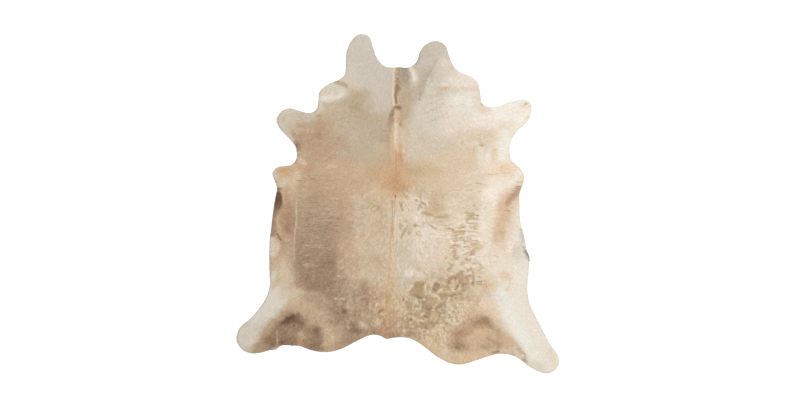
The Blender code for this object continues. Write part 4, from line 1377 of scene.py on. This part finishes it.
        (300, -45), (312, 0), (320, 70), (260, 110)], None, 50, 10, "frayed"),
    ("khaki", [(165, -62), (195, -72), (222, -74)], 9, 80, 8), ("cream", 206, -96, 26, 11, 85, -10, 8),
    ("cream", 302, -54, 28, 15, 75), ("khaki", [(240, -88), (275, -92)], 7, 75, 8),
    ("camel", 255, -45, 34, 24, 50), ("stone", [(175, -27), (215, -27)], 3, 70, 8),
    ("camel", 315, -95, 20, 30, 85, 90, 7, "frayed"), ("khaki", [(295, -72), (335, -72)], 4, 70, 8),
    ("khaki", [(290, -90), (325, -88)], 4, 60, 8), ("khaki", [(265, -124), (290, -122)], 4, 60, 8),
    ("khaki", [(265, -145), (350, -146)], 4, 75, 8, "frayed"),
    ("khaki", [(315, -165), (375, -170)], 4, 85, 8),
    ("khaki", [(310, -182), (395, -187)], 4, 85, 8, "frayed"), ("ivory", 140, -100, 40, 22, 85),
    ("stone", [(55, -112), (92, -106)], 4, 60, 8), ("khaki", 22, -148, 18, 12, 55, -20),
    ("sand", 45, -120, 30, 15, 65), ("ivory", 175, -320, 70, 44, 45, 0, 10),
    ("camel", 288, -445, 24, 14, 60), ("camel", 62, -168, 28, 11, 75, -8, 8),
    ("khaki", 74, -192, 14, 10, 85, 70, 8), ("khaki", [(46, -180), (36, -205), (20, -227)], 6, 90, 7),
    ("khaki", [(15, -165), (42, -182)], 6, 75, 7), ("cream", 58, -195, 8, 6, 80, 0, 8),
    ("ivory", [(37, -152), (36, -172)], 3, 80, 8), ("khaki", 113, -147, 14, 10, 95, -20, 7),
    ("stone", [(122, -146), (140, -156), (170, -158)], 4, 85, 8),
    ("khaki", [(120, -190), (128, -207), (142, -213)], 5, 70, 8),
    ("khaki", [(132, -184), (148, -193)], 5, 70, 8), ("stone", [(165, -130), (198, -132)], 4, 85, 8),
    ("khaki", [(202, -143), (222, -152), (236, -168), (252, -166)], 6, 75, 8),
    ("stone", 230, -126, 10, 5, 80, 20, 8), ("stone", [(200, -202), (230, -204)], 5, 70, 8),
    ("snow", 190, -180, 60, 24, 50, -10), ("khaki", 20, -270, 30, 50, 30, 0, 9, "flecks"),
    ("putty", 150, -300, 140, 120, 45, 0, 8, "flecks"),
    ("khaki", 130, -430, 30, 14, 35, 10, 9, "mottle"), ("pearl", 155, -478, 30, 16, 85),
    ("pearl", 75, -465, 34, 22, 80, 10), ("putty", 230, -475, 34, 24, 60),
    ("linen", 40, -480, 40, 50, 50, 0, 9, "mottle"),
    # Right side: short lines across
    ("sand", 480, 80, 60, 80, 35, 0, 9, "ticks"), ("putty", 370, 50, 40, 16, 60),
    ("putty", 475, 35, 24, 20, 50), ("khaki", [(515, 134), (555, 130)], 3, 45, 8),
    ("khaki", [(540, 127), (590, 126)], 3, 45, 8), ("khaki", [(455, 125), (485, 124)], 3, 55, 8),
    ("khaki", [(455, 88), (490, 88)], 4, 50, 8), ("khaki", [(530, 80), (550, 80)], 4, 40, 8),
    ("khaki", [(340, 86), (420, 87)], 3, 40, 8), ("khaki", 435, -230, 95, 200, 42, 0, 5, "ticks"),
    ("khaki", 450, -34, 14, 14, 70, 0, 8, "frayed"), ("sand", 478, -58, 36, 26, 90, 0, 7, "frayed"),
    ("camel", 478, -95, 36, 12, 80, 0, 7, "frayed"), ("khaki", [(445, -65), (500, -67)], 5, 80, 8),
    ("khaki", [(460, -80), (532, -80)], 5, 85, 8), ("camel", [(430, -101), (525, -104)], 6, 85, 8),
    ("rust", [(455, -132), (522, -132)], 3, 70, 8), ("khaki", 450, -118, 9, 16, 60, 0, 8),
    ("khaki", 512, -158, 18, 18, 75, 0, 7, "frayed"), ("hazel", [(500, -13), (524, -13)], 3, 60, 8),
    ("shell", 422, -83, 26, 12, 80), ("shell", 492, -172, 20, 14, 80, 0, 8),
    ("milk", 362, -256, 24, 22, 85), ("milk", 352, -192, 12, 10, 70, 0, 8),
    ("milk", 355, -155, 20, 8, 75, -10, 8), ("shell", 407, -372, 18, 12, 85),
    ("cream", 327, 13, 50, 26, 60, 0, 10), ("cream", 402, -26, 40, 22, 65, 0, 10),
    ("cream", 322, -62, 34, 20, 55, 0, 10), ("cream", 361, -222, 24, 9, 60),
    ("honey", 520, -300, 24, 14, 70, 0, 8), ("sand", 454, -286, 16, 10, 80, 0, 8),
    ("shell", 452, -350, 26, 10, 80, 0, 8), ("sand", 546, -458, 22, 14, 85),
    ("hazel", [(500, -22), (518, -22)], 3, 50, 8), ("khaki", [(510, -36), (530, -36)], 3, 50, 8),
    ("khaki", [(402, -152), (432, -138)], 3, 85, 8), ("honey", 405, -182, 38, 30, 85, 0, 7, "frayed"),
    ("khaki", [(405, -166), (437, -160)], 6, 85, 8), ("khaki", [(375, -190), (438, -188)], 6, 80, 8),
    ("khaki", [(378, -210), (436, -205)], 4, 90, 8), ("khaki", [(338, -163), (362, -176)], 5, 65, 8),
    ("hazel", [(352, -213), (372, -213)], 3, 80, 8), ("khaki", 415, -226, 12, 6, 75, 0, 8),
    ("khaki", 460, -232, 10, 7, 65, 80, 8), ("khaki", 477, -232, 12, 6, 65, 80, 8),
    ("khaki", [(360, -232), (385, -233)], 4, 80, 8), ("khaki", [(368, -247), (395, -248)], 4, 80, 8),
    ("khaki", [(417, -246), (435, -244)], 5, 75, 8), ("honey", [(484, -272), (505, -250), (532, -238),
        (536, -262), (558, -285), (540, -308), (512, -326), (498, -340), (480, -330), (490, -308),
        (480, -290)], None, 85, 9, "frayed"), ("khaki", [(485, -247), (530, -245)], 3, 75, 8),
    ("fawn", [(485, -262), (538, -262)], 4, 80, 8), ("fawn", [(480, -278), (505, -278)], 4, 80, 8),
    ("taupe", 492, -325, 16, 8, 75, 40, 8), ("taupe", [(470, -343), (500, -338)], 5, 70, 8),
    ("khaki", [(440, -255), (478, -252)], 3, 70, 8), ("khaki", [(460, -290), (480, -292)], 3, 70, 8),
    ("khaki", [(450, -303), (476, -303)], 3, 65, 8),
    ("khaki", [(368, -276), (385, -281), (400, -284)], 6, 85, 8), ("camel", 375, -280, 24, 8, 60, 0, 8),
    ("hazel", [(335, -293), (372, -294)], 3, 80, 8), ("moss", 439, -266, 6, 5, 55, 0, 8),
    ("khaki", 437, -290, 10, 6, 90, 60, 8), ("hazel", [(426, -313), (436, -311)], 4, 80, 8),
    ("fawn", 374, -325, 24, 11, 85, 80, 8), ("hazel", [(345, -336), (368, -314)], 3, 70, 8),
    ("khaki", 383, -361, 18, 13, 95, 0, 6, "frayed"), ("khaki", 453, -368, 18, 9, 60, 90, 8),
    ("hazel", 474, -372, 8, 5, 50, 0, 8), ("fawn", 314, -360, 15, 8, 85, 80, 8),
    ("khaki", 345, -408, 34, 14, 90, 88, 6, "frayed"), ("taupe", 343, -432, 14, 7, 75, 0, 8),
    ("hazel", 330, -446, 10, 5, 80, 0, 8), ("khaki", 425, -400, 14, 8, 45, 30, 8),
    ("hazel", [(500, -400), (515, -402)], 4, 45, 8), ("khaki", [(535, -405), (560, -405)], 4, 60, 8),
    ("khaki", 550, -438, 26, 13, 60, 85, 8, "frayed"), ("taupe", 532, -485, 22, 7, 70, 0, 8, "frayed"),
    # Low right: brown plates parted by cream veins
    ("taupe", 240, -660, 230, 150, 45, -8, 5, "plates"),
    ("milk", 240, -680, 240, 170, 40, -8, 5, "veins"),
    ("hazel", 220, -690, 230, 180, 65, -8, 5, "chips"),
    ("milk", 230, -660, 230, 150, 80, -8, 5, "slits"),
    ("taupe", 150, -820, 160, 70, 40, 0, 6, "scraps"), ("mocha", 170, -830, 180, 80, 50, 0, 6, "chips"),
    ("wheat", 160, -800, 200, 100, 25, 0, 6, "threads"),
    ("cream", 170, -820, 190, 90, 70, 0, 6, "slits"),
    ("cream", [(105, -530), (62, -580), (82, -620)], 10, 80), ("linen", 32, -575, 36, 32, 70, 0, 10),
    ("taupe", 56, -866, 40, 18, 70), ("linen", 212, -545, 34, 26, 80, 80), ("khaki", [(106, -524),
        (150, -520), (190, -525), (171, -546), (169, -575), (179, -605), (166, -626), (143, -636),
        (108, -618), (86, -606), (77, -583), (90, -566), (100, -546)], None, 100, 3),
    ("clay", 105, -590, 24, 18, 60, 60), ("olive", 132, -535, 34, 10, 55),
    ("hazel", 126, -608, 44, 14, 85, -12), ("fawn", 160, -608, 14, 12, 75),
    ("mocha", 118, -618, 20, 7, 60, -20), ("umber", 140, -627, 14, 8, 85),
    ("hazel", [(160, -526), (188, -524)], 4, 60, 8), ("linen", [(110, -507), (180, -508)], 7, 80, 8),
    ("cream", [(208, -519), (186, -534), (177, -552), (181, -572), (194, -586), (184, -600),
        (186, -618), (168, -640), (100, -643)], 5, 95, 6), ("khaki", 200, -560, 22, 11, 70, 85, 8),
    ("cream", 216, -566, 8, 6, 70, 0, 8), ("olive", [(228, -545), (245, -526), (262, -532), (280, -532),
        (276, -560), (262, -588), (240, -588), (226, -565)], None, 100, 3),
    ("umber", [(240, -536), (262, -536)], 5, 75, 8), ("mocha", 240, -570, 12, 9, 60, 70, 8),
    ("shell", 286, -577, 12, 14, 90, 0, 8), ("shell", 318, -536, 9, 13, 85, 0, 8),
    ("khaki", [(256, -604), (276, -594), (300, -596), (330, -588), (362, -594), (344, -618),
        (300, -628), (272, -620)], None, 95, 4), ("olive", 300, -612, 26, 8, 50, -8),
    ("taupe", 312, -608, 24, 10, 75, -8, 8), ("fawn", 288, -500, 18, 20, 75, 60, 8),
    ("taupe", 330, -528, 30, 14, 85, 75, 8), ("taupe", 325, -570, 26, 12, 75, 0, 8, "frayed"),
    ("hazel", 345, -500, 14, 10, 75, 0, 8),
    ("hazel", [(185, -624), (200, -611), (222, -605)], 7, 90, 8),
    ("cream", [(205, -604), (235, -601), (258, -616), (285, -652)], 7, 90, 8), ("fawn", [(142, -652),
        (175, -644), (192, -632), (222, -620), (245, -622), (268, -638), (292, -652), (300, -676),
        (288, -704), (262, -700), (225, -702), (198, -712), (150, -722), (163, -694),
        (145, -672)], None, 95, 3), ("hazel", 172, -664, 36, 17, 75, -35),
    ("hazel", 200, -690, 30, 14, 65, 10), ("taupe", 160, -693, 14, 12, 85, 0, 8),
    ("clay", 305, -712, 22, 12, 75), ("wheat", 387, -646, 20, 12, 80), ("camel", 212, -770, 24, 11, 70),
    ("honey", 122, -846, 22, 10, 70), ("milk", [(148, -660), (150, -690), (142, -722)], 4, 85, 6),
    ("camel", 245, -655, 26, 12, 65, -20), ("umber", 210, -700, 20, 9, 70, 10),
    ("mocha", [(246, -698), (270, -688), (286, -676)], 8, 85),
    ("mocha", [(160, -716), (150, -716)], 8, 70),
    ("cream", [(236, -690), (252, -680), (262, -670)], 4, 70, 8), ("clay", 76, -676, 38, 22, 95, 82, 6),
    ("umber", 55, -650, 6, 5, 75, 0, 8), ("hazel", 34, -646, 13, 7, 75, 20, 8),
    ("camel", 22, -610, 12, 8, 75, 60, 8), ("khaki", 48, -612, 20, 6, 55, 80, 8),
    ("linen", 116, -655, 20, 13, 85, 80, 8), ("khaki", 118, -688, 9, 7, 75, 0, 8),
    ("taupe", 100, -710, 10, 6, 75, 0, 8), ("wheat", 162, -735, 16, 11, 90, 0, 8),
    ("olive", [(180, -722), (206, -712), (222, -722), (214, -745), (196, -758),
        (168, -748)], None, 90, 4), ("camel", 242, -745, 30, 26, 70, 60),
    ("umber", 186, -751, 13, 6, 80, 0, 8), ("hazel", [(95, -735), (120, -731), (138, -752)], 9, 60, 8),
    ("mocha", 84, -771, 16, 10, 90, -20),
    ("milk", [(348, -624), (330, -642), (322, -670), (315, -690), (324, -706)], 5, 100, 6),
    ("taupe", [(313, -645), (309, -690)], 10, 70, 8), ("hazel", 300, -724, 12, 7, 80, 20, 8),
    ("taupe", 308, -752, 12, 8, 80, 40, 8), ("taupe", 292, -768, 12, 8, 70, 0, 8),
    ("taupe", [(278, -726), (272, -762), (255, -785)], 6, 85, 7), ("fawn", 298, -768, 24, 14, 70),
    ("hazel", [(203, -782), (225, -797), (256, -796)], 6, 90, 7),
    ("mocha", [(124, -822), (157, -812)], 8, 85, 7),
    ("hazel", [(150, -838), (170, -828), (200, -808)], 5, 85),
    ("cream", [(118, -852), (150, -842), (170, -836)], 3, 70, 7),
    ("hazel", [(150, -858), (185, -844), (208, -824), (244, -812)], 6, 85),
    ("wheat", [(205, -838), (255, -826)], 4.5, 70), ("fawn", 158, -862, 36, 13, 80, -10),
    ("camel", 200, -860, 20, 12, 55), ("fawn", 48, -792, 24, 14, 60), ("camel", 222, -778, 20, 10, 75),
    ("honey", 262, -812, 20, 10, 70, -20), ("honey", 340, -822, 26, 18, 75),
    ("blush", 300, -880, 34, 24, 55, -30), ("hazel", [(130, -880), (160, -882), (195, -870)], 4, 75, 8),
    ("mocha", 140, -895, 12, 8, 80, 40, 8), ("hazel", 85, -862, 28, 11, 85),
    ("hazel", 75, -830, 20, 7, 65), ("wheat", 40, -842, 14, 10, 85),
    ("shell", [(240, -846), (265, -840), (290, -852)], 6, 60),
    ("blush", 270, -900, 110, 60, 55, -30, 9, "flecks"), ("honey", 256, -885, 50, 34, 55, -30, 10),
    ("clay", 260, -900, 110, 60, 40, -30, 9, "chips"),
    ("shell", 260, -900, 110, 60, 45, -30, 9, "slits"), ("oat", 300, -990, 18, 10, 60, -30),
    ("wheat", 310, -1025, 44, 14, 85, -25), ("cream", 350, -760, 40, 50, 50, 0, 9, "flecks"),
    ("linen", 345, -660, 24, 16, 70, 60), ("hazel", 322, -796, 12, 7, 60, 0, 8),
    # Branching brown to the right of the plates
    ("sand", 430, -550, 90, 90, 45, 0, 7), ("taupe", 430, -540, 90, 90, 35, 0, 7, "scraps"),
    ("hazel", 420, -540, 100, 100, 45, 0, 7, "chips"),
    ("wheat", 420, -550, 100, 110, 70, 0, 7, "slits"),
    ("cream", 430, -550, 100, 110, 35, 0, 7, "threads"), ("taupe", [(385, -470), (405, -446),
        (430, -445), (437, -480), (436, -516), (400, -516), (390, -490)], None, 90, 5),
    ("khaki", 422, -495, 20, 12, 65, 80),
    ("hazel", [(350, -486), (385, -477), (395, -502), (372, -513), (352, -500)], None, 90, 6),
    ("mocha", 334, -526, 20, 9, 60, 80, 8),
    ("umber", [(406, -520), (396, -545), (383, -576)], 7, 80, 8),
    ("mocha", [(403, -590), (378, -604), (350, -616)], 9, 85, 8),
    ("hazel", [(408, -530), (440, -534), (460, -520)], 8, 80, 9, "beads"),
    ("hazel", 434, -540, 26, 10, 75, 20, 8), ("rust", 456, -514, 14, 11, 75, 60, 8),
    ("taupe", [(485, -432), (500, -470), (503, -490)], 9, 75, 9, "beads"),
    ("taupe", [(502, -505), (497, -540)], 7, 80), ("mocha", 496, -530, 12, 9, 70, 80, 8),
    ("fawn", [(440, -492), (466, -480), (496, -482)], 10, 90, 8),
    ("hazel", [(444, -495), (466, -487)], 4, 60, 8), ("taupe", [(460, -443), (480, -436)], 5, 75),
    ("khaki", 436, -572, 20, 9, 70, 70, 8), ("shell", 400, -568, 20, 7, 80, 50, 8),
    ("wheat", 507, -558, 24, 13, 80), ("wheat", 520, -582, 30, 14, 70), ("honey", 467, -610, 22, 8, 80),
    ("sand", 395, -646, 24, 12, 80), ("wheat", 436, -682, 50, 22, 80),
    ("hazel", 410, -596, 16, 9, 75, -30, 8), ("khaki", 460, -560, 18, 9, 60, 60, 8),
    ("clay", [(404, -612), (430, -612), (438, -640), (430, -650), (412, -640)], None, 85, 6),
    ("camel", [(440, -620), (480, -624), (500, -640), (490, -646), (440, -646)], None, 60, 6),
    ("cream", [(405, -655), (440, -658), (475, -650), (500, -656)], 5, 80, 9, "beads"),
    ("fawn", 353, -640, 18, 12, 75, 50, 8), ("hazel", 385, -628, 12, 8, 75, 0, 8),
    ("khaki", 378, -690, 12, 14, 55, 0, 8), ("taupe", 415, -664, 14, 5, 40, 0, 8),
    ("shell", [(350, -560), (372, -582), (392, -592)], 8, 80, 8),
    ("blush", [(366, -500), (362, -550)], 5, 80, 8), ("milk", 454, -590, 11, 6, 85, 80, 8),
    ("mocha", [(516, -517), (556, -517)], 3.5, 85, 7),
    ("mocha", [(524, -537), (556, -537)], 3.5, 85, 7), ("camel", 473, -584, 18, 14, 65, 0, 8),
    # Right haunch: a brown ring on a tan ground
    ("honey", [(586, -530), (570, -575), (535, -635), (495, -700)], 17, 80, 10),
    ("peach", 590, -545, 34, 16, 70, 70), ("cream", 615, -665, 60, 34, 60, -60, 10),
    ("camel", 500, -430, 34, 40, 60, 0, 9, "frayed"), ("camel", 522, -645, 36, 16, 65, 80),
    ("honey", 500, -730, 60, 34, 60, 20),
    ("camel", [(470, -760), (560, -745), (620, -775), (660, -830), (690, -890)], 45, 50, 10),
    ("fawn", 548, -802, 85, 34, 80, -3, 10), ("rust", 545, -790, 75, 26, 65, -2, 10),
    ("hazel", 518, -788, 40, 18, 65, 0, 10), ("mocha", 580, -775, 44, 24, 85, -20),
    ("mocha", [(590, -785), (612, -808), (628, -830)], 14, 65, 10),
    ("fawn", [(620, -810), (650, -840), (668, -880)], 18, 65, 10),
    ("rust", 424, -850, 56, 36, 50, 10, 10), ("hazel", 420, -848, 52, 34, 45, 10, 10),
    ("fawn", 405, -826, 34, 16, 70, 20, 10), ("clay", 434, -896, 36, 22, 75, 0, 10),
    ("mocha", 412, -855, 20, 12, 50), ("rust", 458, -855, 24, 14, 35),
    ("hazel", 385, -905, 40, 28, 70, 80, 10), ("mocha", 398, -945, 50, 26, 80, 0, 10),
    ("clay", 428, -976, 48, 16, 75, 5, 10), ("umber", 400, -955, 22, 12, 55),
    ("taupe", 450, -940, 34, 18, 60, 0, 10), ("fawn", 640, -900, 50, 40, 60, 0, 10),
    ("camel", 520, -900, 60, 34, 55), ("mocha", [(590, -890), (600, -902)], 5, 55, 10),
    ("hazel", [(600, -902), (635, -922), (668, -936)], 4, 45, 10),
    ("taupe", 670, -948, 26, 13, 70, 80, 10), ("taupe", 668, -850, 24, 9, 45, 80),
    ("taupe", 578, -950, 44, 22, 75, 0, 10), ("cocoa", 652, -984, 24, 7, 70, 12),
    ("peach", 440, -1020, 80, 24, 60, 8), ("peach", 730, -895, 45, 26, 60, -50),
    ("wheat", 712, -974, 36, 15, 85, -10), ("cream", 800, -990, 60, 30, 80, -45, 8),
    ("khaki", 812, -985, 50, 20, 55, -50, 8, "scraps"), ("shade", 806, -966, 9, 5, 70, -20, 8),
    ("drab", [(828, -985), (842, -1008)], 5, 70), ("moss", 842, -1022, 14, 6, 45, -70),
    ("umber", [(828, -1036), (854, -1050)], 8, 80),
    ("chalk", [(672, -605), (722, -690), (780, -805), (840, -905)], 42, 80, 10),
    ("chalk", [(840, -900), (920, -1030)], 34, 45, 10),
    ("pearl", [(800, -640), (880, -800), (940, -900)], 22, 50, 10),
    ("blush", 1020, -1020, 50, 18, 50, -70), ("linen", 930, -1080, 40, 20, 50, -40),
    # Small clouds and touches, all over
    ("greige", -403, 730, 26, 13, 75, 10), ("hazel", -44, 556, 14, 12, 60, 90),
    ("orange", -18, 92, 22, 15, 70), ("rust", -18, 92, 18, 11, 45), ("orange", -12, 66, 20, 13, 60),
    ("orange", 58, 102, 50, 26, 20, 0, 10), ("cocoa", -784, 60, 18, 11, 50, 90),
    ("umber", -810, -53, 24, 17, 65, 80), ("wheat", -164, -68, 30, 18, 55),
    ("wheat", -165, -106, 50, 20, 30, 0, 10), ("camel", -224, -228, 30, 18, 55),
    ("camel", -140, -190, 34, 13, 50), ("khaki", -340, -155, 40, 24, 40, 0, 10),
    ("camel", -240, -345, 20, 14, 60), ("sand", -150, -343, 20, 14, 60),
    ("camel", -142, -395, 40, 9, 50, 88), ("wheat", -64, -319, 50, 12, 65, 88),
    ("peach", -46, -222, 20, 10, 65, 88), ("clay", -345, -372, 20, 13, 50),
    ("stone", -755, -584, 40, 18, 50, 60), ("taupe", -323, -657, 22, 15, 60),
    ("taupe", -240, -660, 32, 18, 75), ("taupe", -503, -704, 30, 16, 60),
    ("taupe", -210, -716, 34, 17, 75), ("khaki", -51, -744, 24, 10, 60, 88),
    ("umber", -624, -843, 26, 15, 40), ("mocha", -136, -854, 36, 15, 60),
    ("mocha", -850, -956, 44, 20, 55), ("greige", 326, 969, 26, 15, 85, -60),
    ("mocha", 4, 636, 20, 10, 65), ("milk", 864, 636, 24, 14, 80),
    ("ivory", 785, 598, 70, 24, 60, 12, 10), ("milk", -766, 606, 40, 20, 35, 0, 10),
    ("putty", -728, 498, 30, 20, 60, 0, 10), ("stone", -164, 644, 50, 30, 35, 0, 10),
    ("fawn", -390, 166, 50, 26, 45, 0, 10), ("taupe", -549, 106, 40, 22, 35, 0, 10),
    ("sand", 44, 485, 40, 20, 40, 90, 10), ("blush", 792, 36, 20, 11, 65, 90),
    ("peach", 680, -33, 30, 20, 40, 90, 10), ("cream", 706, -288, 26, 17, 60, 0, 10),
    ("oat", 868, -1060, 50, 26, 60, -40, 10), ("sand", 54, -166, 30, 19, 70, 20),
    ("khaki", [(62, -150), (46, -172), (24, -205)], 4.5, 55, 8), ("honey", 394, -526, 14, 10, 65),
    ("fawn", 394, -584, 16, 10, 75), ("khaki", 102, -580, 30, 16, 60, 60),
    ("umber", 142, -622, 18, 8, 50), ("khaki", 332, -602, 26, 12, 80, 0, 8),
    ("khaki", 222, -642, 26, 14, 65, -20), ("hazel", 272, -690, 22, 11, 60, 20),
    ("camel", 240, -740, 22, 16, 55, 60), ("fawn", 204, -574, 14, 11, 75),
    ("wheat", 270, -642, 24, 5, 75, -45), ("fawn", 155, -911, 24, 12, 60, -20),
    ("fawn", 346, -905, 36, 18, 60, 80, 10), ("wheat", 30, -582, 34, 22, 60, 60),
    ("wheat", 62, -606, 18, 13, 75, 60), ("linen", 152, -508, 40, 9, 90),
    ("honey", 473, -636, 18, 11, 75), ("honey", 388, -644, 18, 12, 70), ("milk", 414, -96, 24, 15, 75),
    # The shade marks on this line and the next are painted shade: along the right flank's curled edge,
    # and in the hollow right of the notch.
    ("cream", 586, -345, 22, 15, 65), ("shade", [(842, -320), (860, -352)], 7, 45),
    ("shade", 48, 890, 22, 14, 65), ("umber", -4, 634, 20, 12, 65), ("taupe", 10, 765, 22, 10, 50, 90),
    ("hazel", -12, 742, 20, 12, 45, 90), ("hazel", -12, 700, 16, 10, 30, 90),
    ("fawn", -16, 782, 12, 9, 45), ("stone", -4, 864, 34, 12, 40, 90, 10),
    ("ash", 100, 652, 40, 20, 40, 70, 10), ("camel", 20, 600, 24, 14, 35, 90, 10),
    ("taupe", -60, 540, 24, 14, 45, 80, 10), ("drab", 603, -799, 22, 14, 60, -30),
    ("clay", 640, -836, 24, 12, 40, -50), ("cream", 722, -238, 32, 22, 60, 0, 10),
    ("milk", 760, -220, 30, 20, 55, 70, 10), ("silver", 660, -620, 34, 24, 45, -50, 10),
    ("cream", 580, -440, 30, 20, 55, 90, 10), ("sand", 500, -900, 30, 22, 40, 0, 10),
    ("camel", 500, -978, 40, 18, 50, 10, 10), ("taupe", 660, -940, 26, 18, 35, -20, 10),
    ("cocoa", -560, -942, 34, 18, 30, 5, 10), ("mocha", -600, -920, 30, 18, 50, 0, 10),
    ("mocha", -520, -900, 22, 18, 40, 80, 10), ("umber", -862, -910, 30, 20, 45, 0, 10),
    ("linen", -720, -600, 40, 30, 50, 0, 10), ("clay", -720, -840, 28, 18, 30, 0, 10),
    ("taupe", -500, -660, 34, 24, 50, 0, 10), ("putty", -742, 498, 30, 20, 55, 20, 10),
    ("cocoa", -795, 27, 30, 12, 25, 90, 10), ("hazel", -416, -764, 30, 22, 55, 0, 10),
    ("taupe", -18, -870, 30, 18, 40, 0, 10), ("milk", 527, 757, 24, 16, 50, -30, 10),
    ("pearl", 799, 232, 30, 16, 40, 70, 10), ("peach", 686, -40, 30, 20, 45, 80, 10),
    ("cream", 693, -282, 34, 20, 50, 0, 10), ("milk", 732, -319, 22, 14, 60, 70),
    ("sand", -144, -13, 20, 14, 60), ("putty", -230, -46, 22, 14, 60),
    ("umber", -430, -604, 20, 14, 40), ("hazel", -941, -983, 24, 10, 55), ("mocha", 2, 646, 14, 8, 35),
    ("milk", 161, -106, 18, 12, 70), ("cream", 527, -146, 22, 12, 70), ("linen", 400, -359, 20, 12, 60),
    ("sand", 161, -518, 20, 12, 60), ("oat", -668, 612, 22, 13, 75), ("bark", -797, 60, 22, 11, 50, 90),
    ("umber", -775, -8, 22, 14, 40, 90), ("honey", -376, -292, 26, 17, 50, 80),
    ("taupe", -184, -638, 20, 14, 70), ("mocha", -337, -862, 26, 15, 55, 20),
    ("taupe", -378, -511, 30, 18, 65), ("ash", 210, 969, 34, 20, 40, 60, 10),
    ("peach", 690, -35, 34, 20, 45, 90, 10), ("cream", 694, -280, 26, 17, 50, 0, 10),
    ("sand", -357, 332, 34, 22, 40, 0, 10), ("clay", -523, 325, 34, 22, 50, 0, 10),
    ("honey", -682, 272, 30, 16, 50, 0, 10), ("honey", 516, -278, 36, 34, 60, -40, 8, "frayed"),
    ("camel", 500, -322, 24, 12, 50, 40), ("honey", 400, -186, 36, 24, 40, 0, 8, "frayed"),
    ("khaki", 378, -350, 34, 14, 45, 88, 8, "frayed"), ("cream", 536, -586, 32, 13, 60, 60),
    ("cream", 602, -640, 60, 30, 45, -60, 10), ("shell", 636, -512, 34, 22, 60, 0, 10),
    ("wheat", 640, -782, 38, 18, 65, -40), ("camel", 476, -782, 30, 18, 65, 0, 10),
    ("wheat", -26, -20, 18, 12, 60, 90), ("camel", -210, -386, 24, 16, 60),
    ("sand", -655, 484, 24, 16, 60), ("umber", -826, -930, 34, 18, 50, 0, 10),
    ("milk", 580, 126, 24, 13, 60), ("sand", 302, -644, 20, 13, 60), ("sand", 374, -672, 22, 14, 65),
    ("camel", 48, -798, 22, 14, 60), ("honey", 346, -822, 22, 14, 65),
    ("linen", -144, 392, 34, 24, 35, 0, 10), ("fawn", -157, 166, 36, 24, 45, 0, 10),
    ("bark", -801, 34, 28, 14, 35, 90, 10), ("taupe", -576, 13, 34, 24, 50, 0, 10),
    ("drab", -383, -512, 34, 22, 55, 0, 10), ("milk", 730, 306, 34, 18, 50, 80, 10),
    ("honey", 42, 46, 26, 18, 50, 0, 10), ("cream", 182, -93, 26, 17, 50, 0, 10),
    ("khaki", 270, -640, 260, 150, 10, -8, 7),
]
MARKS = [line(*row) if isinstance(row[1], list) else patch(*row) for row in MARK_ROWS]


def main():
    bpy.context.scene.view_settings.view_transform = "Standard"
    place_camera()
    light_room()
    make_floor()
    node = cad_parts["hide"]
    rim = fine_rim(solid_rim(node.data))
    heights = height_map(node)
    skin = make_skin(rim, heights)
    rng = np.random.default_rng(COAT_SEED)
    roots = scattered_roots(rim, rng)
    roots = roots[np.argsort(-roots[:, 1], kind="stable")]
    coats = [make_locks(name, part, rim, heights, rng)
             for name, part in zip(COATS, np.array_split(roots, len(COATS)))]
    for piece in (skin, *coats):
        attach(piece, "root")
        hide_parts("hide")


main()
